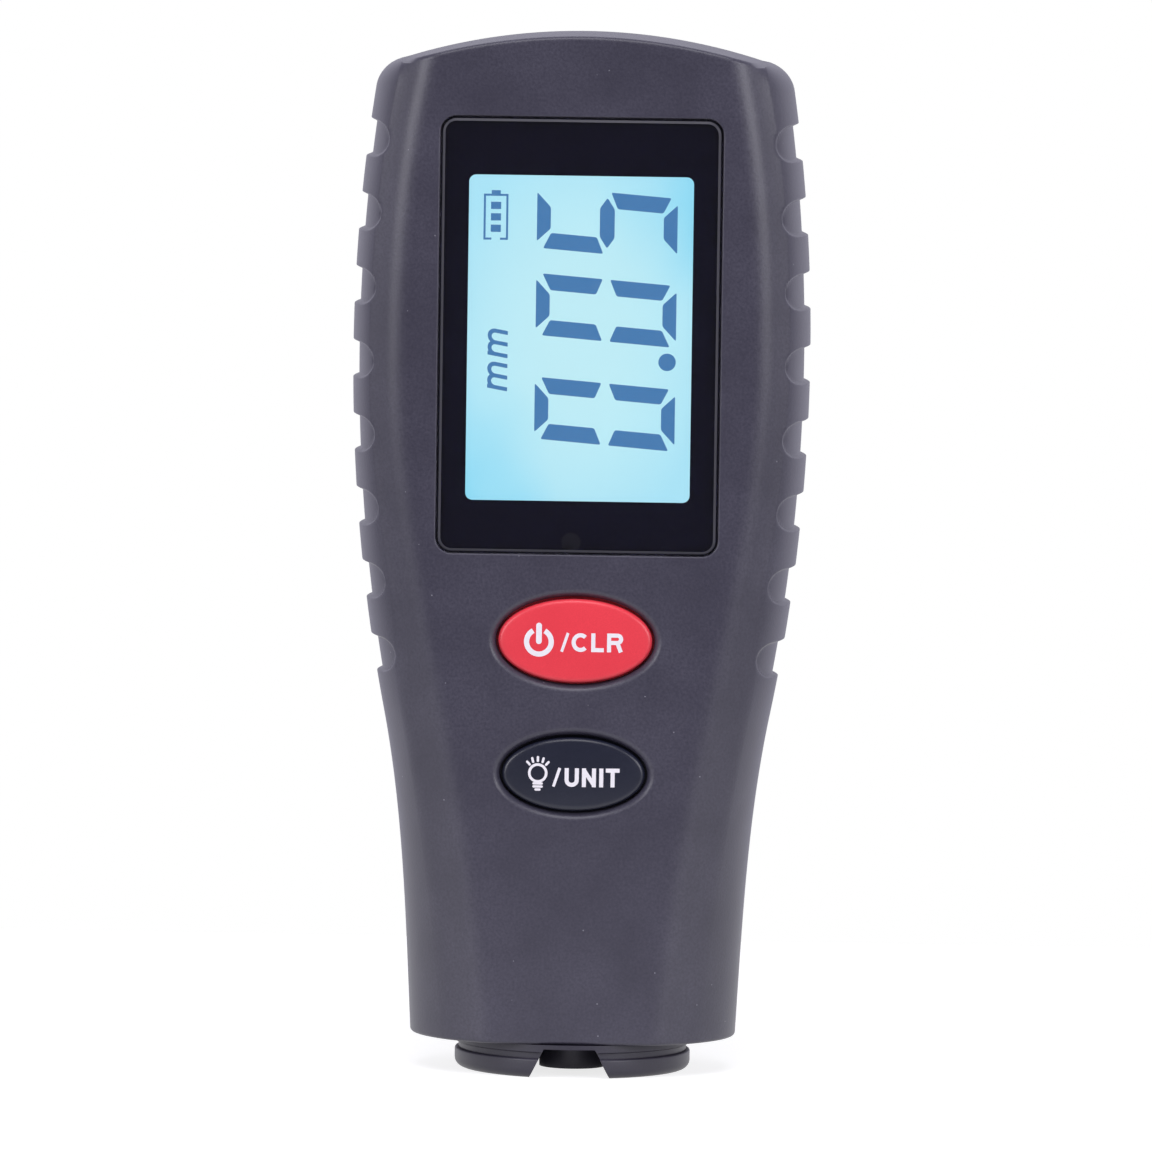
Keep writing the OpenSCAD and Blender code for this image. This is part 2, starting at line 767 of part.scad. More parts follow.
// Crowned oval cap with a rim behind the panel and a stem to its switch
module key_cap(w, h, z) {
    top_y = face_y - key_proud;
    rim_y = inner_y + 2 * fit;
    stem_y = board_y - switch_h - key_travel - 2 * fit;
    stem_wall = 0.6;
    intersection() {
        oval(w, h, top_y, rim_y + rim_t, z, $fn = 160);
        translate([0, top_y + key_crown_r, z])
            sphere(r = key_crown_r, $fn = 360);
    }
    oval(w + 2 * rim_w, h + 2 * rim_w, rim_y, rim_y + rim_t, z, $fn = 160);
    rod(0, z, plunger_r + stem_wall, rim_y, stem_y);
}

module switch_base(z) {
    bore_y = board_y - switch_floor;
    difference() {
        block(switch_w, switch_w, board_y - switch_h, board_y, 0, z);
        rod(0, z, plunger_r + 2 * fit, board_y - switch_h - over, bore_y);
    }
}

module switch_plunger(z) {
    rod(0, z, plunger_r, board_y - switch_h - key_travel - 2 * fit,
        board_y - switch_floor - 2 * fit - key_travel);
}

module power_key() {
    color("#e2414c")
        key_cap(power_key_w, power_key_h, power_key_z);
}

module unit_key() {
    color("#2b2d3a")
        key_cap(unit_key_w, unit_key_h, unit_key_z);
}

module power_switch() {
    color("#3a3a3e")
        switch_base(power_key_z);
}

module unit_switch() {
    color("#3a3a3e")
        switch_base(unit_key_z);
}

module power_switch_plunger() {
    color("#d8d2c4")
        switch_plunger(power_key_z);
}

module unit_switch_plunger() {
    color("#d8d2c4")
        switch_plunger(unit_key_z);
}

// Turned collar: foot ring, groove, neck in the housing, tube for the probe, and the notch across its foot
module probe_collar() {
    shoulder_z0 = bottom_z + wall + fit;
    edge = [for (a = [0:22.5:90]) [collar_r - ring_edge_r * (1 - sin(a)), ring_edge_r * (1 - cos(a))]];
    color("#36353e")
    difference() {
        rotate_extrude($fn = 96)
            polygon(concat(
                [[bore_r, 0]],
                edge,
                [
                    [collar_r, ring_h], [collar_r - groove_depth, ring_h + fit],
                    [collar_r - groove_depth, ring_h + groove_h - fit], [collar_r - 2 * fit, ring_h + groove_h],
                    [collar_r - 2 * fit, bottom_z - fit], [neck_r, bottom_z - fit],
                    [neck_r, shoulder_z0], [neck_r + neck_shoulder_w, shoulder_z0],
                    [neck_r + neck_shoulder_w, shoulder_z0 + neck_shoulder_h],
                    [tube_r, shoulder_z0 + neck_shoulder_h], [tube_r, tube_top],
                    [chamber_r, tube_top], [chamber_r, guide_bore_h], [bore_r, guide_bore_h]
                ]
            ));
        rotate([90, 0, 0])
            linear_extrude(2 * collar_r + 2 * over, center = true)
                polygon([
                    [-notch_foot_w, 0], [notch_foot_w, 0],
                    [notch_roof_w, notch_h], [-notch_roof_w, notch_h]
                ]);
    }
}

module probe_guide() {
    color("#8d8f94")
    difference() {
        union() {
            translate([0, 0, tube_top])
                cylinder(r = tube_r, h = guide_t);
            translate([0, 0, spring_z1])
                cylinder(r = chamber_r - fit, h = guide_plug_h + fit);
        }
        translate([0, 0, spring_z1 - over])
            cylinder(r = stem_r + probe_fit, h = guide_t + guide_plug_h + 2 * over);
    }
}

// Sliding sheath with a spring seat, a stem above and a room for the coil below
module probe_body() {
    color("#2c2b33")
    difference() {
        union() {
            translate([0, 0, tip_plate_z])
                cylinder(r = probe_r, h = spring_z0 - tip_plate_z);
            translate([0, 0, probe_seat_z])
                cylinder(r = probe_r + seat_w, h = seat_t);
            translate([0, 0, spring_z0 - fit])
                cylinder(r = stem_r, h = stem_top - spring_z0 + fit);
        }
        translate([0, 0, -over])
            cylinder(r = coil_room_r, h = coil_room_h + over);
    }
}

// Plate that closes the sheath, with the hard rounded contact point
module probe_tip() {
    color("#c8cacd")
        rotate_extrude()
            polygon(concat(
                [for (a = [0:15:90]) [tip_r * sin(a), tip_plate_z * (1 - cos(a))]],
                [
                    [coil_room_r - fit, tip_plate_z], [coil_room_r - fit, tip_plate_z + tip_plate_t],
                    [0, tip_plate_z + tip_plate_t]
                ]
            ));
}

module probe_core() {
    z0 = tip_plate_z + tip_plate_t;
    color("#4a4543") {
        translate([0, 0, z0])
            cylinder(r = core_r, h = coil_room_h - z0);
        translate([0, 0, coil_room_h - tip_plate_t])
            cylinder(r = coil_room_r - fit, h = tip_plate_t);
    }
}

module probe_coil() {
    z0 = tip_plate_z + tip_plate_t;
    color("#b8693a")
    difference() {
        translate([0, 0, z0])
            cylinder(r = coil_room_r - 4 * fit, h = coil_room_h - tip_plate_t - z0);
        translate([0, 0, z0 - over])
            cylinder(r = core_r + fit, h = coil_room_h + 2 * over);
    }
}

// Round wire wound from z0 to z1, from radius r0 to radius r1, with closed ends laid flat
module coil_spring(r0, r1, wire_r, z0, z1, turns) {
    steps = 12;
    sides = 6;
    count = steps * turns;
    low = z0 + wire_r;
    high = z1 - wire_r;
    points = [
        for (i = [0:count]) for (j = [0:sides - 1])
            let (t = i / count, a = 360 * i / steps, b = 360 * j / sides)
            let (r = mix(r0, r1, t) + wire_r * cos(b), z = mix(low, high, t) + wire_r * sin(b))
            [r * cos(a), r * sin(a), z]
    ];
    walls = [
        for (i = [0:count - 1]) for (j = [0:sides - 1])
            let (a = i * sides + j, b = i * sides + (j + 1) % sides)
            for (t = [[a, b, a + sides], [b, b + sides, a + sides]]) t
    ];
    first = [for (j = [sides - 1:-1:0]) j];
    last = [for (j = [0:sides - 1]) count * sides + j];
    polyhedron(points, concat(walls, [first, last]), convexity = 10);
}

module probe_spring() {
    color("#c4c6c8")
        coil_spring(spring_r, spring_r, spring_wire_r, spring_z0, spring_z1, spring_turns);
}

// Dry cell of the slim size, standing on its flat end, nub up
module cell() {
    r = cell_d / 2;
    edge = 0.4;
    rotate_extrude()
        polygon([
            [0, 0], [r - edge, 0], [r, edge], [r, cell_l - nub_h - edge], [r - edge, cell_l - nub_h],
            [nub_r, cell_l - nub_h], [nub_r, cell_l], [0, cell_l]
        ]);
}

module cell_left() {
    color("#39404c")
        translate([-cell_x, cell_y, bay_z0 + contact_t + contact_spring_l])
            cell();
}

module cell_right() {
    color("#39404c")
        translate([cell_x, cell_y, bay_z0 + contact_t + cell_l])
            rotate([180, 0, 0])
                cell();
}

// Contact plate across the end of a cell, w wide, with its lower face at z
module contact_plate(w, x, z) {
    plate_d = 2 * cell_d / 3;
    translate([x - w / 2, cell_y - plate_d / 2, z])
        cube([w, plate_d, contact_t]);
}

module bridge_plate() {
    color("#c2c3c0")
        contact_plate(2 * (bay_half_w - cell_side_gap), 0, bay_z0);
}

module terminal_plates() {
    color("#c2c3c0")
    for (s = [-1, 1])
        contact_plate(cell_d - 2 * cell_side_gap, s * cell_x, bay_z1 - contact_t);
}

module contact_springs() {
    turns = 3;
    wide = 0.36 * cell_d;
    slim = cell_d / 4;
    color("#c4c6c8") {
        translate([-cell_x, cell_y, 0])
            coil_spring(wide, slim, contact_wire_r, bay_z0 + contact_t,
                bay_z0 + contact_t + contact_spring_l, turns);
        translate([cell_x, cell_y, 0])
            coil_spring(slim, wide, contact_wire_r, bay_z1 - contact_t - contact_spring_l,
                bay_z1 - contact_t, turns);
    }
}

// Pan-head screw with a cross slot, its head towards +Y
module screw(shank_r, shank_l, head_r, head_h) {
    slot_w = head_r / 4;
    slot_l = 1.3 * head_r;
    difference() {
        union() {
            rod(0, 0, shank_r, -shank_l, fit);
            rod(0, 0, head_r, 0, head_h);
        }
        block(slot_l, slot_w, head_h / 2, head_h + over);
        block(slot_w, slot_l, head_h / 2, head_h + over);
    }
}

module housing_screws() {
    color("#a9abad")
    for_screws()
        translate([0, screw_seat, 0])
            screw(screw_r, screw_l, screw_head_r, screw_head_h);
}

module board_screws() {
    color("#a9abad")
    for_board_screws()
        translate([0, board_back_y, 0])
            screw(board_screw_r, board_screw_l, board_screw_head_r, board_screw_head_h);
}

front_housing();
rear_housing();
battery_door();
display_window();
window_tape();
lcd_glass();
lcd_backlight();
lcd_contact_strips();
main_board();
microcontroller();
crystal();
capacitors();
power_key();
power_switch();
power_switch_plunger();
unit_key();
unit_switch();
unit_switch_plunger();
probe_collar();
probe_guide();
probe_body();
probe_tip();
probe_core();
probe_coil();
probe_spring();
cell_left();
cell_right();
bridge_plate();
terminal_plates();
contact_springs();
housing_screws();
board_screws();
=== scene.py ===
# %% [markdown]
# # A coating thickness gauge
# The gauge stands on its probe collar. Its solids arrive packed from the construction model and stay where
# they are. This lesson gives each piece the surface that the eye meets: moulded shells with soft edges, a
# lit display behind an acrylic window, printed keys and a notched collar. Lengths are in millimetres until
# a mesh is made, and MM turns them into Blender's metres.

# %% Load the frame
import math

import bmesh
import bpy
import numpy as np
from mathutils import Matrix, Vector
from mathutils.geometry import delaunay_2d_cdt


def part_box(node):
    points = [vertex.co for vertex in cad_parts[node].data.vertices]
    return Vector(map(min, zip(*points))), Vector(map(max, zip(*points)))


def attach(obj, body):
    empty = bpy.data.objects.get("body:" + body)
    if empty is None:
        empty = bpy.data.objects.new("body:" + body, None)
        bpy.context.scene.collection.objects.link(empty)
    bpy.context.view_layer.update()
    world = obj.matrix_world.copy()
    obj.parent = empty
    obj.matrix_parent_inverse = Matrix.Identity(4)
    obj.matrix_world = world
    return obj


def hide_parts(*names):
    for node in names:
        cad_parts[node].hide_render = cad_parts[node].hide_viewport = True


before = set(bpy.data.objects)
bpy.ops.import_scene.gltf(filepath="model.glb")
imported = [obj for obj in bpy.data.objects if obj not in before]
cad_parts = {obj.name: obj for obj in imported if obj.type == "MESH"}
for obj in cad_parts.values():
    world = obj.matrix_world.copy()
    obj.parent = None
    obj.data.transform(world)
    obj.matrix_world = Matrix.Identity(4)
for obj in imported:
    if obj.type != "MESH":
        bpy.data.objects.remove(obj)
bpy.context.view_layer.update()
MM = 0.001

# %% [markdown]
# ## Camera
# A long lens far away keeps the sides of the gauge nearly parallel, as the photograph has them. The values
# were fitted to the corners of the window, the keys and the collar. The slight roll comes from the
# photograph.

# %% Camera
PHOTO_SIDE = 1152
FOCAL_PIXELS = 10825.0
SENSOR = 36.0
CAMERA_DISTANCE = 1.145
CAMERA_HEIGHT = 0.1329
CAMERA_AZIMUTH = math.radians(1.41)
CAMERA_ROLL = math.radians(0.80)
CAMERA_AIM = Vector((-0.0003, 0.0, 0.05225))

camera = bpy.data.objects.new("camera", bpy.data.cameras.new("camera"))
bpy.context.scene.collection.objects.link(camera)
camera.data.sensor_width = SENSOR
camera.data.lens = SENSOR * FOCAL_PIXELS / PHOTO_SIDE
place = Vector((math.sin(CAMERA_AZIMUTH), -math.cos(CAMERA_AZIMUTH), 0)) * CAMERA_DISTANCE
place.z = CAMERA_HEIGHT
ahead = (CAMERA_AIM - place).normalized()
level = ahead.cross(Vector((0, 0, 1))).normalized()
upward = level.cross(ahead)
right = level * math.cos(CAMERA_ROLL) + upward * math.sin(CAMERA_ROLL)
turn = Matrix((right, right.cross(ahead), -ahead)).transposed().to_4x4()
camera.matrix_world = Matrix.Translation(place) @ turn
bpy.context.scene.camera = camera
print("camera:", round(camera.data.lens), "mm lens at", [round(v, 3) for v in place])

# %% [markdown]
# ## Reading the frame
# Sizes that the solids already hold are measured from them, so the dressed pieces follow the solids.

# %% Measures from the frame
def corners(node):
    """Lowest and highest corner of a solid, in millimetres."""
    low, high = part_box(node)
    return np.array(low) / MM, np.array(high) / MM


shell_low, shell_high = corners("front_housing")
window_low, window_high = corners("display_window")
collar_high = corners("probe_collar")[1]
HALF_D = -shell_low[1]
FACE_Y = -HALF_D
BOTTOM_Z = shell_low[2]
BODY_H = shell_high[2]
BODY_W = 2 * shell_high[0]
WINDOW_ZC = (window_low[2] + window_high[2]) / 2
print("housing:", BODY_W.round(2), "wide,", BODY_H.round(2), "high,", (2 * HALF_D).round(2), "deep")

# %% [markdown]
# ## A skin of patches
# A moulded shell could be sculpted, or cut from blocks with many bevels. Here each surface is laid out as
# nets of points instead, because every fillet then has its true radius. A Skin collects the nets, welds
# them along their shared borders and gives one closed mesh.

# %% Skins and pieces
WELD = 2e-6
SAME_SPOT = 1e-7
SHARP_ANGLE = 35


def inside(loop, x, z):
    """Whether a place lies inside a loop of x, z pairs."""
    start, end = loop, np.roll(loop, -1, axis=0)
    crosses = (start[:, 1] > z) != (end[:, 1] > z)
    rise = np.where(crosses, end[:, 1] - start[:, 1], 1.0)
    hits = start[:, 0] + (z - start[:, 1]) * (end[:, 0] - start[:, 0]) / rise
    return np.count_nonzero(crosses & (x < hits)) % 2 == 1


def triangles(solids, holes=()):
    """Triangles over the flat field that the solid loops cover, less the holes, and their corners."""
    loops = [np.asarray(loop, float) for loop in (*solids, *holes)]
    edges = []
    start = 0
    for loop in loops:
        count = len(loop)
        edges += [(start + i, start + (i + 1) % count) for i in range(count)]
        start += count
    found = delaunay_2d_cdt([Vector(p) for p in np.vstack(loops)], edges, [], 0, SAME_SPOT)
    spots = np.array(found[0])
    covers, gaps = loops[:len(solids)], loops[len(solids):]
    kept = []
    for triangle in found[2]:
        x, z = spots[list(triangle)].mean(axis=0)
        covered = any(inside(loop, x, z) for loop in covers)
        if covered and not any(inside(loop, x, z) for loop in gaps):
            kept.append(tuple(triangle))
    return spots, kept


class Skin:
    """Patches of one closed surface, in millimetres."""

    def __init__(self):
        self.points = []
        self.faces = []

    def grid(self, rows, closed=False):
        """Quads over a net of points. A closed net joins the end of each row to its start."""
        rows = np.asarray(rows, float)
        count, width = rows.shape[:2]
        base = len(self.points)
        self.points.extend(rows.reshape(-1, 3))
        for r in range(count - 1):
            for k in range(width if closed else width - 1):
                here, there = base + r * width + k, base + r * width + (k + 1) % width
                self.faces.append((here, there, there + width, here + width))

    def cap(self, loop):
        """One flat face over a loop of points."""
        base = len(self.points)
        self.points.extend(np.asarray(loop, float))
        self.faces.append(tuple(range(base, base + len(loop))))

    def field(self, outer, holes):
        """Triangles over a flat field at one depth, less the holes."""
        flat = [np.asarray(loop)[:, [0, 2]] for loop in (outer, *holes)]
        spots, found = triangles(flat[:1], flat[1:])
        base = len(self.points)
        self.points.extend((x, outer[0][1], z) for x, z in spots)
        self.faces.extend(tuple(base + i for i in f) for f in found)

    def stack(self, loops):
        """Closed loops joined one after another and capped at the last."""
        self.grid(loops, closed=True)
        self.cap(loops[-1])

    def plug(self, loops):
        """Closed loops joined one after another and capped at both ends."""
        self.cap(loops[0])
        self.stack(loops)

    def mesh(self, name, mirror=False):
        """A new object with the welded mesh, mirrored to the rear if asked."""
        flip = np.array((1, -1 if mirror else 1, 1)) * MM
        shape = bmesh.new()
        spots = [shape.verts.new(p * flip) for p in self.points]
        for face in self.faces:
            shape.faces.new([spots[i] for i in face])
        bmesh.ops.remove_doubles(shape, verts=shape.verts, dist=WELD)
        bmesh.ops.dissolve_degenerate(shape, dist=WELD / 4, edges=shape.edges)
        bmesh.ops.triangulate(shape, faces=[f for f in shape.faces if len(f.verts) > 4])
        bmesh.ops.recalc_face_normals(shape, faces=shape.faces)
        made = bpy.data.meshes.new(name)
        shape.to_mesh(made)
        shape.free()
        piece = bpy.data.objects.new(name, made)
        bpy.context.scene.collection.objects.link(piece)
        return piece


def carve(piece, tool, operation):
    """Cuts, joins or trims a piece with a tool, and takes the tool away."""
    change = piece.modifiers.new("carve", "BOOLEAN")
    change.solver = "MANIFOLD"
    change.operation = operation
    change.object = tool
    changed = piece.evaluated_get(bpy.context.evaluated_depsgraph_get())
    shape = bpy.data.meshes.new_from_object(changed)
    piece.modifiers.clear()
    piece.data = shape
    bpy.data.objects.remove(tool)
    return piece


def dress(piece, body, material, replaced=(), sharp=SHARP_ANGLE):
    """Shades a piece smooth up to an angle, gives it its finish and lets it ride on a body."""
    piece.data.materials.clear()
    piece.data.materials.append(material)
    piece.data.shade_smooth()
    piece.data.set_sharp_from_angle(angle=math.radians(sharp))
    piece.modifiers.new("even_fields", "WEIGHTED_NORMAL").keep_sharp = True
    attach(piece, body)
    if replaced:
        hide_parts(*replaced)
    print(piece.name, len(piece.data.polygons), "faces")
    return piece


# %% [markdown]
# ## Outline of the housing
# The body swells from a narrow foot over a waist to a wide belly and draws in at the shoulders. Each of
# these places has a half width and a slope, and a smooth run joins them. A section at any height goes from
# the parting plane round the flank, over a bevel, to the flat panel. Both creases of the bevel get a small
# radius. Points lie closest along the stretch of the flank that will hold the rims of the grip pockets.

# %% Sections of the housing
WAIST_Z = 38.0
BELLY_DROP = 34.0
SHOULDER_DROP = 6.0
SHOULDER_R = 3.0
STATIONS = np.array([BOTTOM_Z, WAIST_Z, BODY_H - BELLY_DROP, BODY_H - SHOULDER_DROP])
SHOULDER_Z = STATIONS[3]
HALF_WIDTHS = np.array([34.5, 41.0, BODY_W, 44.2]) / 2
SIDE_SLOPES = [0.055, 0.2, 0.0, -0.15]
MARGINS = [8.0, 6.3, 4.85, 5.2]
MARGIN_SLOPES = [-0.035, 0.0, 0.0, 0.05]
BEVEL_W = (3.7, 1.9)
BEVEL_FALL = (2.7, 1.5)
BEVEL_LIMIT = 0.8
LEAN_SHARE = 0.52
LEAN_FALL = (2.2, 0.2)
FLANK_ROUND = (0.33, 0.46)
FLANK_CHANGE = 14.0
PANEL_SHARE = 0.4
CREASE_R = 0.9
PANEL_ROLL = 1.6
BEVEL_ROLL = 1.45
SEAM = 0.09
PANEL_LAND = 1.25
RIM_STRETCH = (0.6, 0.95)
ROUND_STEPS = np.linspace(0, RIM_STRETCH[0], 18)
RIM_STEPS = np.linspace(*RIM_STRETCH, 36)
LAST_STEPS = np.linspace(RIM_STRETCH[1], 1, 4)
FLANK_STEPS = np.r_[ROUND_STEPS, RIM_STEPS[1:], LAST_STEPS[1:]]
CREASE_STEPS = np.linspace(0, 1, 11)


def mix(a, b, t):
    """What lies between two values at a share of the way."""
    return a + (b - a) * t


def ease(t):
    """A share that starts and ends softly."""
    u = np.clip(t, 0, 1)
    return u * u * (3 - 2 * u)


def run(z, values, slopes):
    """A value that runs smoothly through foot, waist, belly and shoulder."""
    if z >= SHOULDER_Z:
        return values[3] + slopes[3] * (min(z, SHOULDER_Z + SHOULDER_R) - SHOULDER_Z)
    i = int(np.clip(np.searchsorted(STATIONS, z, side="right") - 1, 0, 2))
    length = STATIONS[i + 1] - STATIONS[i]
    t = (z - STATIONS[i]) / length
    return ((2 * t**3 - 3 * t**2 + 1) * values[i] + (t**3 - 2 * t**2 + t) * slopes[i] * length
            + (3 * t**2 - 2 * t**3) * values[i + 1] + (t**3 - t**2) * slopes[i + 1] * length)


def half_width(z):
    """Half the body's width at one height, with the rounded shoulder."""
    rise = min(max(z - SHOULDER_Z, 0), SHOULDER_R)
    return run(z, HALF_WIDTHS, SIDE_SLOPES) - SHOULDER_R + math.sqrt(SHOULDER_R**2 - rise**2)


def curve(t, *controls):
    """Points of a Bezier curve through its control points."""
    controls = [np.asarray(c, float)[None] for c in controls]
    t = np.asarray(t)[:, None]
    while len(controls) > 1:
        controls = [mix(a, b, t) for a, b in zip(controls, controls[1:])]
    return controls[0]


def section(z, inset=0.0):
    """Half a section at one height: rows of x and depth from the parting plane to the flat panel."""
    w = half_width(z) - inset
    c = run(z, HALF_WIDTHS, SIDE_SLOPES) - run(z, MARGINS, MARGIN_SLOPES) - PANEL_SHARE * inset
    h = HALF_D - inset
    head = ease((z - WAIST_Z) / FLANK_CHANGE)
    foot = np.array([min(c + mix(*BEVEL_W, head), mix(c, w, BEVEL_LIMIT)), h - mix(*BEVEL_FALL, head)])
    lean = np.array([LEAN_SHARE * (w - foot[0]), -mix(*LEAN_FALL, head)])
    panel = np.array([c, h])
    along = (panel - foot) / np.linalg.norm(panel - foot)
    reach = 1 - CREASE_R / (3 * np.linalg.norm(lean))
    turn = (w, h * mix(*FLANK_ROUND, head))
    flank = curve(reach * FLANK_STEPS, (w, 0), turn, foot + lean, foot)
    inward = np.array([PANEL_ROLL, 0])
    return np.vstack([
        [(w - SEAM, 0), (w, SEAM)], flank[1:],
        curve(CREASE_STEPS[1:], flank[-1], foot, foot + CREASE_R * along),
        curve(CREASE_STEPS, panel - BEVEL_ROLL * along, panel, panel - inward),
        [panel - PANEL_LAND * inward],
    ])


print("section at the belly:", len(section(STATIONS[2])), "points")

# %% [markdown]
# ## Grip pockets and the crown
# Eight pockets a side are pressed into the flanks. They could be cut with a boolean, but then their rims
# would be knife edges. Instead the skin is drawn in where it lies inside a pocket's outline, over a short
# ramp, which gives the soft rim that a mould leaves. The crown is an arc across the top, and each column of
# the net bends over its rounded edge and runs back to the parting plane.

# %% Half bodies
POCKET_COUNT = 8
POCKET_PITCH = 7.79
POCKET_H = 3.68
POCKET_DEPTH = 0.65
POCKET_REACH = 2.45
POCKET_DROP = 11.4
POCKET_RIM = 0.4
POCKET_STEPS = [0, 0.4, 0.8, 1.1, 1.32, 1.48, 1.6, 1.68, 1.76, 1.84, 1.92, 2.0, 2.08, 2.2, 2.5, 3.0, 3.5]
CROWN_R = 62.0
CROWN_EDGE_R = 0.5
CROWN_DRAFT = 0.35
CROWN_STEPS = np.linspace(0, 1, 7)
CROWN_ROUNDS = 12
LEAST_EDGE_R = 0.05
FOOT_EDGE_R = 0.4
FOOT_ROWS = 50
HEAD_ROWS = 6
HIDDEN_ROWS = 26
HIDDEN_STEP = 6
PANEL_COUNT = 48
EDGE_STEPS = np.radians(np.linspace(0, 90, 7))
SHOULDER_STEPS = np.sin(np.radians(np.linspace(5, 90, 16)))


def rounded_edge(r):
    """Steps outward and down of a rounded edge, from the flat to the wall."""
    return [(r * (1 - math.sin(a)), r * (1 - math.cos(a))) for a in EDGE_STEPS]


def pocket_share(x, z):
    """How deep the skin lies in a grip pocket, from 0 on the land to 1 on the pocket's floor."""
    first = BODY_H - POCKET_DROP
    k = np.clip(round((first - z) / POCKET_PITCH), 0, POCKET_COUNT - 1)
    middle = first - k * POCKET_PITCH
    end = half_width(middle) - POCKET_REACH + POCKET_H / 2
    depth = POCKET_H / 2 - np.hypot(np.minimum(x - end, 0), z - middle)
    return ease(depth / POCKET_RIM + 0.5)[:, None]


def skin_section(z, inset):
    """A section with the grip pockets drawn in."""
    plain = section(z, inset)
    share = pocket_share(plain[:, 0], z)
    if inset or not share.any():
        return plain
    return mix(plain, section(z, POCKET_DEPTH), share)


def row_heights(low):
    """Heights of the net's rows, close together at the rims of the pockets."""
    first = BODY_H - POCKET_DROP
    steps = [*POCKET_STEPS, *(-s for s in POCKET_STEPS)]
    rows = {round(first - k * POCKET_PITCH + s, 4) for k in range(POCKET_COUNT) for s in steps}
    lowest, highest = min(rows), max(rows)
    rows.update(np.linspace(low, lowest, FOOT_ROWS)[:-1])
    rows.update(np.linspace(highest, SHOULDER_Z, HEAD_ROWS)[1:])
    return sorted(rows)


def crown_z(x, depth, inset):
    """Height of the crown. It falls a little towards the panel, so that it leaves the mould."""
    return BODY_H - CROWN_R + np.sqrt((CROWN_R - inset)**2 - x**2) - CROWN_DRAFT * depth / HALF_D


def crown_edge(inset, depth=math.inf):
    """Radius of the crown's front edge, less where the body is drawn in or thin."""
    return min(max(CROWN_EDGE_R - inset, LEAST_EDGE_R), depth / 2)


def over_the_crown(x, depth, end_x, rise, inset):
    """A column's end: round the crown's edge at x, then back to the parting plane at end_x."""
    edge = crown_edge(inset, depth)
    seam = min(SEAM, depth / 4)
    xs = mix(mix(x, end_x, edge / HALF_D), end_x, CROWN_STEPS)
    depths = mix(depth - edge, seam, CROWN_STEPS)
    back = np.stack([xs, depths, crown_z(xs, depths, inset)], axis=1)
    bend = curve(CROWN_STEPS, rise, (x, depth, crown_z(x, depth, inset)), back[0])
    return np.vstack([bend, back[1:], [(end_x, 0, crown_z(end_x, 0, inset) - seam)]])


def half_body(sinks=(), inset=0.0, low=BOTTOM_Z):
    """Closed front half of the body, drawn in by inset, with stacks of loops sunk into its panel.
    A body that is drawn in is hidden, so it gets fewer rows and columns."""
    skin = Skin()
    full = len(section(WAIST_Z))
    columns = np.arange(full)
    heights = row_heights(low + FOOT_EDGE_R)
    if inset:
        columns = np.r_[0, 1, 1 + HIDDEN_STEP:full - 2:HIDDEN_STEP, full - 2, full - 1]
        heights = np.linspace(low, SHOULDER_Z, HIDDEN_ROWS)
    edges = [(low + down, inset + out) for out, down in rounded_edge(FOOT_EDGE_R)]
    levels = edges + [(z, inset) for z in heights[1:]]
    side = [[(x, d, z) for x, d in skin_section(z, i)[columns]] for z, i in levels]
    tops = np.full(len(columns), SHOULDER_Z + SHOULDER_R)
    for _ in range(CROWN_ROUNDS):
        tops = crown_z(*np.array([section(z, inset)[k] for k, z in zip(columns, tops)]).T, inset)
    ends = [section(z, inset)[k] for k, z in zip(columns, tops)]
    starts = [z - crown_edge(inset, d) for z, (_, d) in zip(tops, ends)]
    for share in SHOULDER_STEPS:
        row = [mix(SHOULDER_Z, z, share) for z in starts]
        side.append([(*section(z, inset)[k], z) for k, z in zip(columns, row)])
    main = len(side) - 1
    spread = np.linspace(ends[0][0], ends[-1][0], len(ends))
    crown = [over_the_crown(*end, end_x, rise, inset) for end, end_x, rise in zip(ends, spread, side[-1])]
    side = np.array(side + list(np.array(crown).transpose(1, 0, 2)[1:]))
    side[:, :, 1] *= -1
    left = side * (-1, 1, 1)
    skin.grid(side)
    skin.grid(left)
    h = HALF_D - inset
    reach = side[-1, -1, 0]
    across = np.linspace(reach, -reach, PANEL_COUNT)
    fronts = [(x, h, crown_z(x, h, inset) - crown_edge(inset)) for x in across]
    roof = [over_the_crown(x, h, x, front, inset) for x, front in zip(across, fronts)]
    roof = np.array(roof).transpose(1, 0, 2) * (1, -1, 1)
    roof[:, 0], roof[:, -1] = side[main:, -1], left[main:, -1]
    skin.grid(roof)
    shares = np.ones((PANEL_COUNT, 3))
    shares[:, 0] = np.linspace(1, -1, PANEL_COUNT)
    sole = np.array([side[r, -1] * shares for r in range(len(edges))])
    skin.grid(sole)
    rise = side[len(edges) - 1:main + 1, -1]
    fall = left[main:len(edges) - 2:-1, -1]
    skin.field(np.vstack([rise[:-1], roof[0], fall[1:], sole[-1][::-1][1:-1]]), [s[0] for s in sinks])
    for loops in sinks:
        skin.stack(loops)
    skin.cap(np.vstack([side[0], sole[0][1:-1], left[0][::-1]]))
    parting = [side[:, 0], side[-1, 1:], roof[-1][1:-1], left[-1, ::-1], left[-2::-1, 0]]
    skin.cap(np.vstack(parting))
    return skin


# %% [markdown]
# ## Loops for recesses
# A recess is a stack of loops that starts on the panel, rounds its edge and goes down. Rounded rectangles
# make the window and door recesses, ovals make the key wells.

# %% Loops
CORNER_STEPS = np.radians(np.linspace(0, 90, 12))
OVAL_COUNT = 128
ROD_COUNT = 40


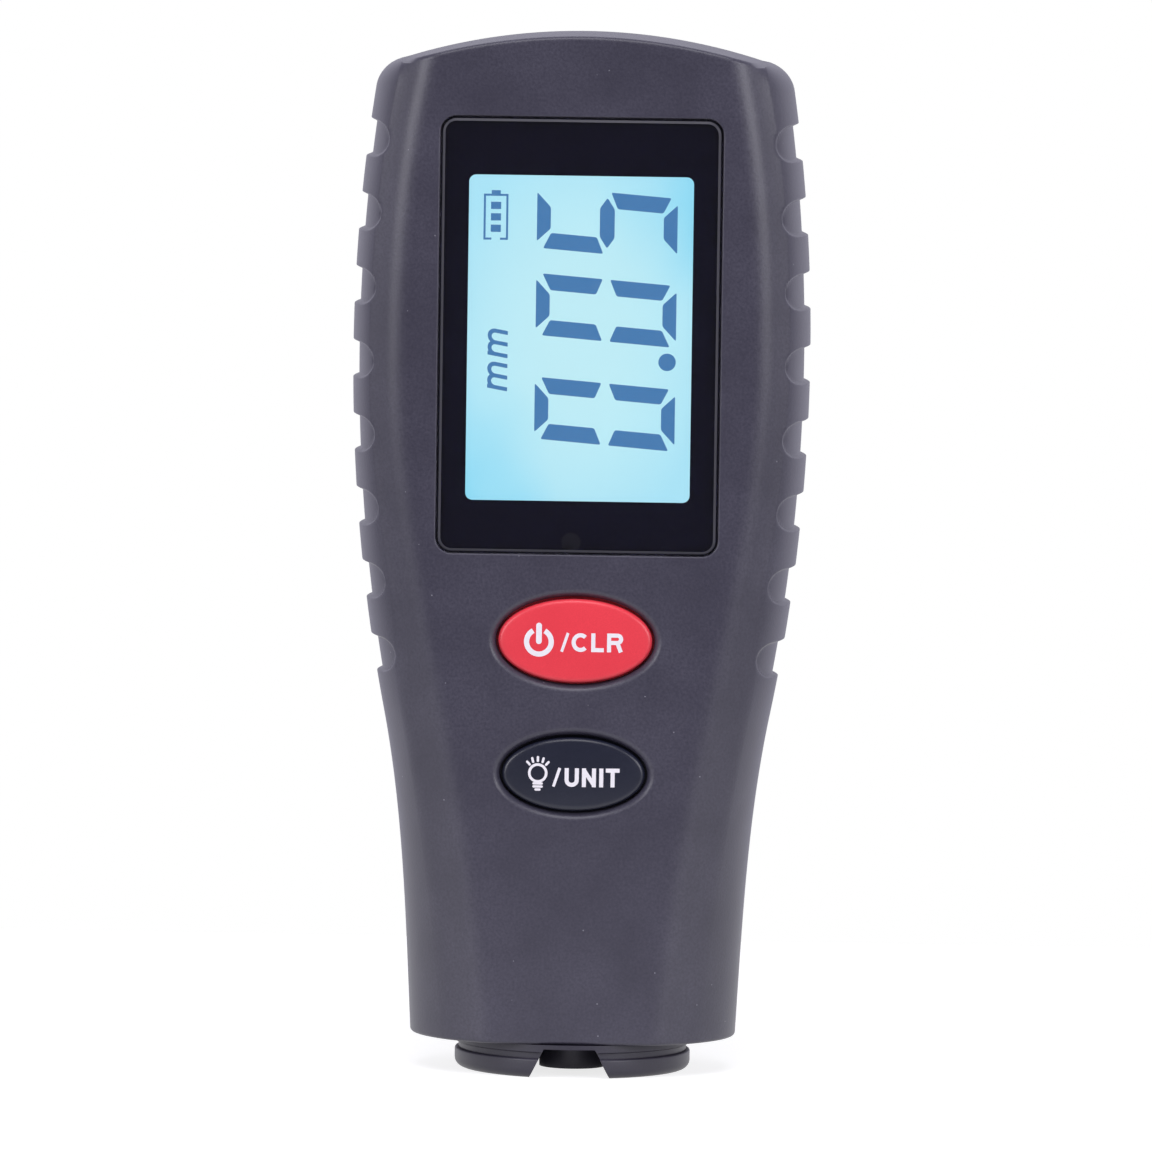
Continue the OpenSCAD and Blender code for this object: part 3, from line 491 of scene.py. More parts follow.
def rectangle(w, h, r, y, zc, xc=0.0):
    """Loop of a rectangle with round corners at one depth."""
    loop = []
    for quarter, (sx, sz) in enumerate([(1, 1), (-1, 1), (-1, -1), (1, -1)]):
        x, z = xc + sx * (w / 2 - r), zc + sz * (h / 2 - r)
        for a in CORNER_STEPS + quarter * math.pi / 2:
            loop.append((x + r * math.cos(a), y, z + r * math.sin(a)))
    return np.array(loop)


def oval(w, h, y, zc, xc=0.0, count=OVAL_COUNT):
    """Loop of an oval at one depth."""
    a = np.linspace(0, 2 * math.pi, count, endpoint=False)
    return np.stack([xc + w / 2 * np.cos(a), np.full_like(a, y), zc + h / 2 * np.sin(a)], axis=1)


def block(skin, low, high):
    """Adds a plain box to a skin."""
    (x0, y0, z0), (x1, y1, z1) = low, high
    skin.plug([np.array([(x0, y, z0), (x1, y, z0), (x1, y, z1), (x0, y, z1)]) for y in (y0, y1)])


def rod(skin, x, z, r, y0, y1):
    """Adds a cylinder along Y to a skin."""
    skin.plug([oval(2 * r, 2 * r, y, z, x, ROD_COUNT) for y in (y0, y1)])


# %% [markdown]
# ## Colours and nodes
# Colours are written as sRGB hex values, the way a paint chart gives them, and turned to linear light once.
# One small function adds a node with its settings and links, so that each material reads as a short list.

# %% Material helpers
def linear(code):
    """Linear colour of an sRGB hex value."""
    parts = [int(code[i:i + 2], 16) / 255 for i in (1, 3, 5)]
    return [p / 12.92 if p <= 0.04045 else ((p + 0.055) / 1.055) ** 2.4 for p in parts] + [1.0]


def add(tree, kind, inputs=None, **settings):
    """Adds a node. Inputs, named or numbered, hold plain values or other nodes' outputs."""
    made = tree.nodes.new(kind)
    for name, value in settings.items():
        setattr(made, name, value)
    for name, value in (inputs or {}).items():
        if isinstance(value, bpy.types.NodeSocket):
            tree.links.new(value, made.inputs[name])
        else:
            made.inputs[name].default_value = value
    return made


def start_material(name, **sockets):
    """A material with its shader's constant values set, its tree, its shader and its object coordinates."""
    material = bpy.data.materials.new(name)
    material.use_nodes = True
    tree = material.node_tree
    shader = tree.nodes["Principled BSDF"]
    for socket, value in sockets.items():
        shader.inputs[socket.replace("_", " ")].default_value = value
    return material, tree, shader, add(tree, "ShaderNodeTexCoord").outputs["Object"]


def per_mm(size):
    """Texture scale that gives features of a size in millimetres."""
    return 1 / (size * MM)


def noise(tree, place, size, detail):
    """Cloudy values with features of a size in millimetres."""
    inputs = {"Vector": place, "Scale": per_mm(size), "Detail": detail}
    return add(tree, "ShaderNodeTexNoise", inputs).outputs["Fac"]


def maths(tree, operation, *values):
    """Result of a sum on one or two values."""
    return add(tree, "ShaderNodeMath", dict(enumerate(values)), operation=operation).outputs[0]


def spread(tree, value, taken=(0.0, 1.0), given=(0.0, 1.0), **settings):
    """A value spread from the range it is taken from to the range that is given."""
    inputs = {"Value": value, "From Min": taken[0], "From Max": taken[1],
              "To Min": given[0], "To Max": given[1]}
    return add(tree, "ShaderNodeMapRange", inputs, **settings).outputs[0]


def tinted(tree, share, first, second, **settings):
    """Colour between two colours, each a hex value or another node's output."""
    first, second = [linear(c) if isinstance(c, str) else c for c in (first, second)]
    inputs = {0: share, 6: first, 7: second}
    return add(tree, "ShaderNodeMix", inputs, data_type="RGBA", **settings).outputs[2]


def emboss(tree, shader, height, distance, strength):
    """Small relief on a shader, with its height in millimetres."""
    inputs = {"Height": height, "Distance": distance * MM, "Strength": strength}
    tree.links.new(add(tree, "ShaderNodeBump", inputs).outputs[0], shader.inputs["Normal"])


# %% [markdown]
# ## Moulded plastics
# The shells are injection moulded ABS from a spark-eroded mould. That leaves a fine even grain, which
# spreads highlights into a soft sheen and keeps the flat panel matt. The real grain is about 0.05 mm and
# too fine to show, so it is drawn coarser. A wide cloud varies the tone a little, and a few pale specks sit
# on the surface. The keys, the collar and the small nylon parts are moulded too, with finer or glossier
# moulds.

# %% Moulded plastic
CLOUD = 7
TONE_RANGE = (0.1, 0.45)
SHEEN = 0.06
SPECK_PITCH = 1.5
SPECK_R = 0.055
SPECK_SHARE = 0.18


def moulded(name, dark, light, grain, roughness, bump=0.012, specks=0.0, ior=1.53):
    """A moulded plastic with a grain size in millimetres and a bump height in millimetres."""
    material, tree, shader, place = start_material(name, IOR=ior)
    cloud = noise(tree, place, CLOUD, 4.0)
    texture = noise(tree, place, grain, 2.0)
    tone = spread(tree, maths(tree, "MULTIPLY", cloud, texture), TONE_RANGE)
    colour = tinted(tree, tone, dark, light)
    if specks:
        dots = add(tree, "ShaderNodeTexVoronoi", {"Vector": place, "Scale": per_mm(SPECK_PITCH)})
        near = maths(tree, "LESS_THAN", dots.outputs["Distance"], SPECK_R)
        chance = add(tree, "ShaderNodeSeparateColor", {0: dots.outputs["Color"]}).outputs[0]
        spot = maths(tree, "MULTIPLY", near, maths(tree, "GREATER_THAN", chance, 1 - SPECK_SHARE))
        colour = tinted(tree, maths(tree, "MULTIPLY", spot, specks), colour, "#9a99a2")
    tree.links.new(colour, shader.inputs["Base Color"])
    sheen = spread(tree, texture, given=(roughness - SHEEN, roughness + SHEEN))
    tree.links.new(sheen, shader.inputs["Roughness"])
    emboss(tree, shader, texture, bump, 0.5)
    return material


shell_abs = moulded("moulded_abs_spark_grain", "#353341", "#464452", 0.28, 0.4, bump=0.026, specks=0.5)
door_abs = moulded("moulded_abs_door", "#33313f", "#444250", 0.28, 0.4, bump=0.026, specks=0.3)
red_cap = moulded("moulded_abs_red_satin", "#e23845", "#ec3e4b", 0.14, 0.36, bump=0.006)
dark_cap = moulded("moulded_abs_dark_satin", "#161929", "#1d2031", 0.14, 0.34, bump=0.006)
collar_pom = moulded("moulded_acetal_collar", "#2b2935", "#35323f", 0.18, 0.4, bump=0.01, ior=1.48)
print("moulded plastics:", shell_abs.name, red_cap.name, dark_cap.name, collar_pom.name)

# %% [markdown]
# ## Front shell
# The front shell carries the window recess and two oval key wells. Their stacks of loops start on the flat
# panel. The wells have a soft sunk lip, which catches a dark ring of shade round each key. A second half
# body, drawn in by the wall, is meant to hollow the shell, and bosses and rails are joined on. As it stands
# the boolean refuses that second body and warns, so both shells stay solid behind their skins.

# %% Front shell
WALL = 2.0
STUB = 1.0
WINDOW_FIT = 0.12
CLEAR = 0.05
WINDOW_R = 1.7
VIEW_W = 24.6
VIEW_H = 35.3
PIT_DEPTH = WALL + 0.6
EDGE_R = 0.18
KEY_FIT = 0.25
RIM_W = 0.9
LIP_W = 0.9
LIP_DEPTH = 1.1
LIP_STEPS = np.radians(np.linspace(0, 90, 13))
SCREW_R = 1.2
SCREWS = [(s * x, z) for s in (-1, 1) for x, z in ((16.5, 100.0), (11.6, 16.0))]
BOARD_SCREWS = [(s * 15.8, z) for s in (-1, 1) for z in (54.25, 91.2)]
PILOT_Y = -6.0
BOARD_PILOT_R = 0.95
BOARD_PILOT_Y = -8.9
NECK_HOLE_R = 8.7
NECK_COUNT = 96
BOSS_R = 2.8
BOARD_BOSS_R = 2.0
RAIL_T = 1.0
RAIL_HALF = 4.15
board_low = corners("main_board")[0]
glass_low, glass_high = corners("lcd_glass")
recess_y = corners("window_tape")[1][1]
boss_y = recess_y + CLEAR


def key_size(node):
    """Width, height and middle height of a key's cap, without the rim behind the panel."""
    low, high = corners(node)
    return high[0] - low[0] - 2 * RIM_W, high[2] - low[2] - 2 * RIM_W, (low[2] + high[2]) / 2


def window_recess():
    """Loops of the window's seat and of the opening in its floor."""
    w, _, h = window_high - window_low + 2 * WINDOW_FIT
    steps = [(2 * EDGE_R, 0)] + rounded_edge(EDGE_R)
    loops = [rectangle(w + 2 * o, h + 2 * o, WINDOW_R + o, FACE_Y + d, WINDOW_ZC) for o, d in steps]
    loops.append(rectangle(w, h, WINDOW_R, recess_y, WINDOW_ZC))
    for y in (recess_y, FACE_Y + PIT_DEPTH):
        loops.append(rectangle(VIEW_W, VIEW_H, WINDOW_R / 2, y, WINDOW_ZC))
    return loops


def key_well(node):
    """Loops of the lip and the wall round a key."""
    w, h, zc = key_size(node)
    w, h = w + 2 * KEY_FIT, h + 2 * KEY_FIT
    lip = [(LIP_W * (1 - math.sin(a)), LIP_DEPTH * (1 - math.cos(a))) for a in LIP_STEPS]
    steps = [(LIP_W + 2 * EDGE_R, 0)] + lip + [(0, PIT_DEPTH)]
    return [oval(w + 2 * o, h + 2 * o, FACE_Y + d, zc) for o, d in steps]


def rods(places, r, y0, y1):
    """A tool of equal cylinders at several places."""
    skin = Skin()
    for x, z in places:
        rod(skin, x, z, r, y0, y1)
    return skin.mesh("rods")


def hollow(shell, mirror):
    """Offers a shell its cavity to be cut out. The cavity reaches past the parting plane."""
    room = half_body(inset=WALL, low=BOTTOM_Z + WALL).mesh("cavity", mirror)
    for vert in room.data.vertices:
        if abs(vert.co.y) < SEAM * MM / 2:
            vert.co.y += (-STUB if mirror else STUB) * MM
    return carve(shell, room, "DIFFERENCE")


def trimmed(tool, mirror):
    """A tool cut back to a quarter of the wall under the skin, so that it never shows on the outside."""
    depth = WALL / 4
    return carve(tool, half_body(inset=depth, low=BOTTOM_Z + depth).mesh("trim", mirror), "INTERSECT")


def hoop(r, z, count):
    """Loop of a circle about the upright axis."""
    a = np.linspace(0, 2 * math.pi, count, endpoint=False)
    return np.stack([r * np.cos(a), r * np.sin(a), np.full_like(a, z)], axis=1)


def neck_hole():
    """A tool for the hole in the foot that takes the collar's neck."""
    skin = Skin()
    skin.plug([hoop(NECK_HOLE_R, z, NECK_COUNT) for z in (BOTTOM_Z - STUB, BOTTOM_Z + WALL + STUB)])
    return skin.mesh("neck_hole")


front = half_body([window_recess(), key_well("power_key"), key_well("unit_key")]).mesh("front_shell")
hollow(front, False)
carve(front, trimmed(rods(SCREWS, BOSS_R, boss_y, 0), False), "UNION")
carve(front, trimmed(rods(BOARD_SCREWS, BOARD_BOSS_R, boss_y, board_low[1]), False), "UNION")
rails = Skin()
for s in (-1, 1):
    x0, x1 = sorted((s * (glass_high[0] + CLEAR), s * (glass_high[0] + CLEAR + RAIL_T)))
    block(rails, (x0, boss_y, WINDOW_ZC - RAIL_HALF), (x1, glass_high[1], WINDOW_ZC + RAIL_HALF))
carve(front, rails.mesh("rails"), "UNION")
carve(front, rods(SCREWS, SCREW_R + CLEAR, PILOT_Y, STUB), "DIFFERENCE")
carve(front, rods(BOARD_SCREWS, BOARD_PILOT_R, BOARD_PILOT_Y, board_low[1] + STUB), "DIFFERENCE")
carve(front, neck_hole(), "DIFFERENCE")
dress(front, "housing", shell_abs, ["front_housing"])

# %% [markdown]
# ## Rear shell
# The rear shell mirrors the front without the window and keys. It has a recess for the battery door, the
# bay for two cells behind it, and deep counterbores for the four housing screws.

# %% Rear shell
DOOR_W = 24.2
DOOR_Z0 = 46.0
DOOR_Z1 = 97.5
DOOR_R = 1.5
DOOR_T = 2.0
DOOR_FIT = 0.15
DOOR_ZC = (DOOR_Z0 + DOOR_Z1) / 2
BAY_HALF_W = 11.1
BAY_WALL = 1.2
BAY_Z0 = 47.0
BAY_Z1 = 96.5
BAY_Y = -0.8
FLOOR_Y = -1.8
DOOR_Y = HALF_D - DOOR_T
TAB_W = 2.5
TAB_T = 1.25
TAB_X = 9.45
TAB_SLOT = (1.75, 2.95)
SLIVER = 0.02
REAR_BOSS_R = BOSS_R + 0.6
SCREW_SLACK = 0.2
SCREW_SEAT = 4.0
COUNTERBORE_R = 2.4


def door_recess():
    """Loops of the seat that the battery door closes into."""
    w, h = DOOR_W + 2 * DOOR_FIT, DOOR_Z1 - DOOR_Z0 + 2 * DOOR_FIT
    steps = [(2 * EDGE_R, 0)] + rounded_edge(EDGE_R) + [(0, DOOR_T)]
    return [rectangle(w + 2 * o, h + 2 * o, DOOR_R + o, FACE_Y + d, DOOR_ZC) for o, d in steps]


def box(low, high):
    """A plain box as a tool."""
    skin = Skin()
    block(skin, low, high)
    return skin.mesh("box")


rear = half_body([door_recess()]).mesh("rear_shell", mirror=True)
hollow(rear, True)
carve(rear, trimmed(rods(SCREWS, REAR_BOSS_R, 0, HALF_D), True), "UNION")
bay_w = BAY_HALF_W + BAY_WALL
bay_case = box((-bay_w, FLOOR_Y, BAY_Z0 - BAY_WALL), (bay_w, DOOR_Y - SLIVER, BAY_Z1 + BAY_WALL))
carve(rear, bay_case, "UNION")
carve(rear, box((-BAY_HALF_W, BAY_Y, BAY_Z0), (BAY_HALF_W, HALF_D, BAY_Z1)), "DIFFERENCE")
slot_w = TAB_W / 2 + DOOR_FIT
for x in (-TAB_X, TAB_X):
    tab_slot = box((x - slot_w, DOOR_Y - 2 * TAB_T, BAY_Z1 - TAB_SLOT[0]),
                   (x + slot_w, DOOR_Y - SLIVER / 2, BAY_Z1 + TAB_SLOT[1]))
    carve(rear, tab_slot, "DIFFERENCE")
carve(rear, rods(SCREWS, SCREW_R + SCREW_SLACK, -STUB, HALF_D), "DIFFERENCE")
carve(rear, rods(SCREWS, COUNTERBORE_R, SCREW_SEAT, HALF_D + STUB), "DIFFERENCE")
carve(rear, neck_hole(), "DIFFERENCE")
dress(rear, "housing", shell_abs, ["rear_housing"])

# %% [markdown]
# ## Battery door
# A flat cover with soft edges and five thumb grooves. It is laid out like the panel, as a field with sunk
# loops, and its two tabs and snap rib are joined on from behind.

# %% Battery door
GROOVE_COUNT = 5
GROOVE_PITCH = 1.6
GROOVE_L = 10.5
GROOVE_W = 0.7
GROOVE_DEPTH = 0.5
GROOVE_RISE = 4.0
GROOVE_STEPS = [(0.12, 0), (0.05, 0.03), (0, 0.12), (-0.08, 0.36), (-0.2, GROOVE_DEPTH)]
GROOVE_R = GROOVE_W / 2 - 0.02
DOOR_EDGE_R = 0.35
TAB_Z0 = 95.5
TAB_REACH = 1.5
RIB_HALF = 3.5
RIB_H = 1.5
RIB_T = 1.0
JOIN = 0.05


def groove(z):
    """Loops of one thumb groove."""
    return [rectangle(GROOVE_L + 2 * o, GROOVE_W + 2 * o, GROOVE_R + o, FACE_Y + d, z)
            for o, d in GROOVE_STEPS]


cover = Skin()
w, h = DOOR_W, DOOR_Z1 - DOOR_Z0
rim_steps = [(2 * DOOR_EDGE_R, 0)] + rounded_edge(DOOR_EDGE_R) + [(0, DOOR_T)]
rim = [rectangle(w - 2 * o, h - 2 * o, DOOR_R - o, FACE_Y + d, DOOR_ZC) for o, d in rim_steps]
grooves = [groove(DOOR_Z0 + GROOVE_RISE + i * GROOVE_PITCH) for i in range(GROOVE_COUNT)]
cover.field(rim[0], [g[0] for g in grooves])
for loops in (rim, *grooves):
    cover.stack(loops)
door = cover.mesh("battery_cover", mirror=True)
for x in (-TAB_X, TAB_X):
    x0, x1 = x - TAB_W / 2, x + TAB_W / 2
    carve(door, box((x0, DOOR_Y - JOIN - TAB_T, TAB_Z0), (x1, DOOR_Y - JOIN, DOOR_Z1 + TAB_REACH)), "UNION")
    carve(door, box((x0, DOOR_Y - TAB_T, TAB_Z0), (x1, DOOR_Y + JOIN, BAY_Z1)), "UNION")
rib_z = BAY_Z0 + JOIN
carve(door, box((-RIB_HALF, DOOR_Y - RIB_H, rib_z), (RIB_HALF, DOOR_Y + JOIN, rib_z + RIB_T)), "UNION")
dress(door, "door", door_abs, ["battery_door"])

# %% [markdown]
# ## Keys
# Each key is an oval cap with a gently crowned face, a rounded edge, a hidden rim that keeps it in the
# panel and a stem to its switch. Rings of points from the middle of the face to the end of the stem give
# the cap.

# %% Key caps
KEY_PROUD = 0.3
KEY_CROWN_R = 48.0
KEY_EDGE_R = 0.45
RIM_T = 0.8
STEM_R = 1.8
RIM_GAP = 0.1
FACE_SHARES = np.linspace(0.04, 1, 22)
rim_y = FACE_Y + WALL + RIM_GAP


def crown_y(x, z):
    """Depth of a key's crowned face at a place measured from its middle."""
    return FACE_Y - KEY_PROUD + KEY_CROWN_R - np.sqrt(KEY_CROWN_R**2 - x**2 - z**2)


def key_cap(node, name, material, body):
    """A whole key, from the middle of its face to the end of its stem."""
    w, h, zc = key_size(node)
    rings = []
    for share in FACE_SHARES:
        ring = oval((w - 2 * KEY_EDGE_R) * share, (h - 2 * KEY_EDGE_R) * share, 0, 0)
        ring[:, 1] = crown_y(ring[:, 0], ring[:, 2])
        rings.append(ring)
    for o, d in rounded_edge(KEY_EDGE_R)[1:]:
        ring = oval(w - 2 * o, h - 2 * o, 0, 0)
        ring[:, 1] = crown_y(ring[:, 0], ring[:, 2]) + d
        rings.append(ring)
    rings += [oval(w, h, rim_y, 0)]
    rings += [oval(w + 2 * RIM_W, h + 2 * RIM_W, y, 0) for y in (rim_y, rim_y + RIM_T)]
    stem_y = corners(node)[1][1]
    rings += [oval(2 * STEM_R, 2 * STEM_R, y, 0) for y in (rim_y + RIM_T, stem_y)]
    skin = Skin()
    skin.plug(np.array(rings) + (0, 0, zc))
    return dress(skin.mesh(name), body, material, [node])


key_cap("power_key", "power_cap", red_cap, "power_button")
key_cap("unit_key", "unit_cap", dark_cap, "unit_button")

# %% [markdown]
# ## Printed matter
# The legends on the keys, the border behind the window and the display's segments are thin films. Each film
# is a flat figure of polygons, cut into triangles, laid on its surface and given a hair of thickness.

# %% Films
MITRE_LIMIT = 0.4
SINK = 1.5


def stroke(path, width):
    """Outline of a line of one width along a path of x, z pairs."""
    path = np.asarray(path, float)
    ahead = np.roll(path, -1, axis=0) - path
    behind = path - np.roll(path, 1, axis=0)
    ahead[-1], behind[0] = behind[-1], ahead[0]
    ahead /= np.linalg.norm(ahead, axis=1)[:, None]
    behind /= np.linalg.norm(behind, axis=1)[:, None]
    normal = (ahead + behind)[:, ::-1] * (-1, 1)
    normal /= np.linalg.norm(normal, axis=1)[:, None]
    reach = width / 2 / np.maximum((normal * (ahead[:, ::-1] * (-1, 1))).sum(axis=1), MITRE_LIMIT)
    side = normal * reach[:, None]
    return np.vstack([path + side, (path - side)[::-1]])


def arc(x, z, r, start, end, count=20):
    """Path along a circle, from one angle to another in degrees."""
    a = np.radians(np.linspace(start, end, count))
    return np.stack([x + r * np.cos(a), z + r * np.sin(a)], axis=1)


def film(name, solids, holes, surface, thickness, body, material):
    """A thin film over polygons of x, z pairs. It stands proud of a surface and is sunk a little."""
    spots, found = triangles(solids, holes)
    front = np.array([(x, surface(x, z) - thickness, z) for x, z in spots])
    back = front + (0, SINK * thickness, 0)
    skin = Skin()
    skin.points = [*front, *back]
    count = len(spots)
    used = {}
    for a, b, c in found:
        skin.faces += [(a, b, c), (c + count, b + count, a + count)]
        for edge in ((a, b), (b, c), (c, a)):
            used[tuple(sorted(edge))] = used.get(tuple(sorted(edge)), 0) + 1
    skin.faces += [(a, b, b + count, a + count) for (a, b), times in used.items() if times == 1]
    return dress(skin.mesh(name), body, material)


# %% Inks
def ink(name, dark, light, **sockets):
    """A printed ink, a little mottled where the film is thinner. It glows where it is lit from behind."""
    material, tree, shader, place = start_material(name, Roughness=0.5, IOR=1.5, **sockets)
    colour = tinted(tree, noise(tree, place, 0.5, 3.0), dark, light)
    lit = "Emission_Strength" in sockets
    tree.links.new(colour, shader.inputs["Emission Color" if lit else "Base Color"])
    return material


legend_ink = ink("pad_printed_white_ink", "#e6e2e8", "#f2eff3")
border_ink = ink("screen_printed_border_ink", "#131224", "#17162a", Specular_IOR_Level=0.0)
dot_ink = ink("screen_printed_grey_ink", "#24232d", "#2a2933", Specular_IOR_Level=0.0)
segment_ink = ink("liquid_crystal_segment", "#437cb5", "#4982bb", Base_Color=linear("#10181c"),
                  Emission_Strength=0.95)
print("inks:", legend_ink.name, border_ink.name, dot_ink.name, segment_ink.name)

# %% [markdown]
# ## Key legends
# The red key carries the power sign and the short word for clear, the dark key a lamp sign and the word for
# the unit. Letters are strokes of one weight, which is how a pad print of this size is drawn.

# %% Key legends
LETTER_H = 1.98
LETTER_STROKE = 0.43
SIGN_STROKE = 0.3
LEGEND_T = 0.012


def letter(sign, x, z, w):
    """Outlines of one capital letter whose lower left corner is at x, z, and of the hole in it."""
    k = LETTER_STROKE / 2
    left, right, low, high = x + k, x + w - k, z + k, z + LETTER_H - k
    top = z + LETTER_H
    middle = (left + right) / 2
    waist = (low + high) / 2
    half = (right - left) / 2
    bow = (high - waist) / 2
    turn = x + w - bow - k
    paths = {
        "C": [arc(middle, waist, 1, 46, 314, 32) * (half, high - waist)
              + (middle * (1 - half), waist * (1 - high + waist))],
        "L": [[(left, top), (left, low), (x + w, low)]],
        "R": [[(left, z), (left, top)], [(turn, waist), (right, z)]],
        "U": [[(left, top), (left, low + half), *arc(middle, low + half, half, 195, 345, 16),
               (right, low + half), (right, top)]],
        "N": [[(left, z), (left, top)], [(left, top - k), (right, z + k)], [(right, z), (right, top)]],
        "I": [[(middle, z), (middle, top)]],
        "T": [[(x, high), (x + w, high)], [(middle, high), (middle, z)]],
    }
    bow_z = high - bow
    bowl, eye = [np.vstack([(start, bow_z - r), arc(turn, bow_z, r, -90, 90), (start, bow_z + r)])
                 for start, r in ((left, bow + k), (left + k, bow - k))]
    solids = [stroke(path, LETTER_STROKE) for path in paths[sign]]
    return (solids + [bowl], [eye]) if sign == "R" else (solids, [])


def slash(x, z):
    """Outline of a slanted stroke as high as a letter."""
    return stroke([(x, z), (x + LETTER_H / 3, z + LETTER_H)], SIGN_STROKE)


def capsule(x0, z0, x1, z1, width):
    """Outline of a straight stroke with round ends."""
    tilt = math.degrees(math.atan2(z1 - z0, x1 - x0))
    ends = [(x1, z1, tilt - 90), (x0, z0, tilt + 90)]
    return np.vstack([arc(x, z, width / 2, start, start + 180, 10) for x, z, start in ends])


def on_key(zc):
    """The crowned face of the key at one height, as a surface for a film."""
    return lambda x, z: crown_y(x, z - zc)


def word(letters, base_z):
    """Outlines of a word and of its holes, from each letter's sign, place and width."""
    parts = [letter(sign, x, base_z, w) for sign, x, w in letters]
    return [s for solids, _ in parts for s in solids], [h for _, holes in parts for h in holes]


# %% Legend of the power key
SIGN_X = -3.8
SIGN_DROP = 0.12
RING_R = 1.3
RING_STROKE = 0.55
RING_GAP = 28
BAR_Z = (0.05, 1.7)
BAR_STROKE = 0.6
POWER_SLASH_X = -1.4
POWER_BASE_DROP = 1.12
POWER_WORD = (("C", -0.36, 1.88), ("L", 1.7, 1.33), ("R", 3.36, 1.68))
power_z = key_size("power_key")[2]
ring_z = power_z - SIGN_DROP
base_z = power_z - POWER_BASE_DROP
solids, holes = word(POWER_WORD, base_z)
solids += [stroke(arc(SIGN_X, ring_z, RING_R, 90 + RING_GAP, 450 - RING_GAP, 48), RING_STROKE),
           capsule(SIGN_X, ring_z + BAR_Z[0], SIGN_X, ring_z + BAR_Z[1], BAR_STROKE),
           slash(POWER_SLASH_X, base_z)]
film("power_legend", solids, holes, on_key(power_z), LEGEND_T, "power_button", legend_ink)

# %% Legend of the unit key
LAMP_X = -3.73
LAMP_RISE = 0.1
LAMP_R = 1.03
LAMP_STROKE = 0.28
CIRCLE = (0, 352.5, 48)
CAP_STROKE = 0.26
CAP_PLACES = ((1.1, 0.42), (1.42, 0.42), (1.74, 0.2))
RAY_STROKE = 0.25
RAY_ENDS = ((1.13, 1.17, 0.87, 0.89), (0.6, 1.55, 0.5, 1.17), (0, 1.67, 0, 1.27), (-0.6, 1.55, -0.5, 1.17),
            (-1.13, 1.17, -0.87, 0.89))
UNIT_SLASH_X = -2.07
UNIT_BASE_DROP = 1.3
UNIT_WORD = (("U", -0.9, 1.5), ("N", 0.92, 1.48), ("I", 2.7, 0.5), ("T", 3.42, 1.45))
unit_z = key_size("unit_key")[2]
lamp_z = unit_z + LAMP_RISE
base_z = unit_z - UNIT_BASE_DROP
bulb = arc(LAMP_X, lamp_z, LAMP_R - LAMP_STROKE, *CIRCLE)
solids = [arc(LAMP_X, lamp_z, LAMP_R, *CIRCLE), slash(UNIT_SLASH_X, base_z), *word(UNIT_WORD, base_z)[0]]
for drop, half in CAP_PLACES:
    solids.append(capsule(LAMP_X - half, lamp_z - drop, LAMP_X + half, lamp_z - drop, CAP_STROKE))
for out_x, out_z, in_x, in_z in RAY_ENDS:
    solids.append(capsule(LAMP_X + out_x, lamp_z + out_z, LAMP_X + in_x, lamp_z + in_z, RAY_STROKE))
film("unit_legend", solids, [bulb], on_key(unit_z), LEGEND_T, "unit_button", legend_ink)

# %% [markdown]
# ## Window
# The window is cut from polished acrylic with a fine ground chamfer round its edge, which draws a thin
# line. Its border is printed on the back in dark ink and leaves a clear field over the display.

# %% Window
LEDGE = 0.14
LEDGE_FALL = 0.3
CHAMFER = 0.26
CHAMFER_FALL = 0.17
EDGE_T = 0.02
PRINT_T = 0.02
LCD_W = 23.55
LCD_H = 34.15
LCD_R = 0.75
LCD_ZC = WINDOW_ZC - 0.27
SENSOR_DOT = (-0.6, 56.6, 1.0)


def polished_acrylic():
    """Clear cast acrylic: sharp reflections, with a faint haze where it was wiped."""
    material, tree, shader, place = start_material("polished_acrylic", IOR=1.49, Transmission_Weight=1.0)
    haze = noise(tree, place, 14, 2.0)
    tree.links.new(spread(tree, haze, given=(0.0, 0.06)), shader.inputs["Roughness"])
    tree.links.new(tinted(tree, haze, "#f6f8fa", "#ffffff"), shader.inputs["Base Color"])
    return material


acrylic = polished_acrylic()
lens_w, _, lens_h = window_high - window_low
lens_r = WINDOW_R - WINDOW_FIT
lens = Skin()
lens_back = window_high[1] - PRINT_T


def lens_loops(steps):
    """Loops round the window at steps inward from its edge and down from its face."""
    return [rectangle(lens_w - 2 * o, lens_h - 2 * o, lens_r - o, FACE_Y + d, WINDOW_ZC) for o, d in steps]


ground = [(LEDGE + CHAMFER, 0), (LEDGE, CHAMFER_FALL)]
sunk = [(o, d + EDGE_T) for o, d in ground]
loops = lens_loops([ground[0], *sunk, (LEDGE, LEDGE_FALL), (0, LEDGE_FALL), (0, lens_back - FACE_Y)])
lens.plug(loops)
dress(lens.mesh("window_lens"), "housing", acrylic, ["display_window"], sharp=20)
edge = Skin()
edge.grid(lens_loops([*ground, *sunk[::-1], ground[0]]), closed=True)
ground_edge = moulded("ground_acrylic_edge", "#2d2c36", "#3a3943", 0.1, 0.5, bump=0.004, ior=1.49)
dress(edge.mesh("window_edge"), "housing", ground_edge, sharp=20)

border = rectangle(lens_w, lens_h, lens_r, 0, WINDOW_ZC)[:, [0, 2]]
clear = rectangle(LCD_W, LCD_H, LCD_R, 0, LCD_ZC)[:, [0, 2]]
dot = arc(*SENSOR_DOT, *CIRCLE)
prints = [("window_border", [border], [clear, dot], border_ink), ("window_dot", [dot], [], dot_ink)]
for name, solids, holes, inked in prints:
    film(name, solids, holes, lambda x, z: lens_back + PRINT_T, PRINT_T / SINK, "housing",
         inked)

# %% [markdown]
# ## Display
# A liquid crystal cell lies behind the window, lit from behind by a pale blue light guide. Its front film
# glows evenly with a slightly bluer tint towards two corners, so it gives light in the shader. The segments
# are then drawn on it as thin dark blue bars.

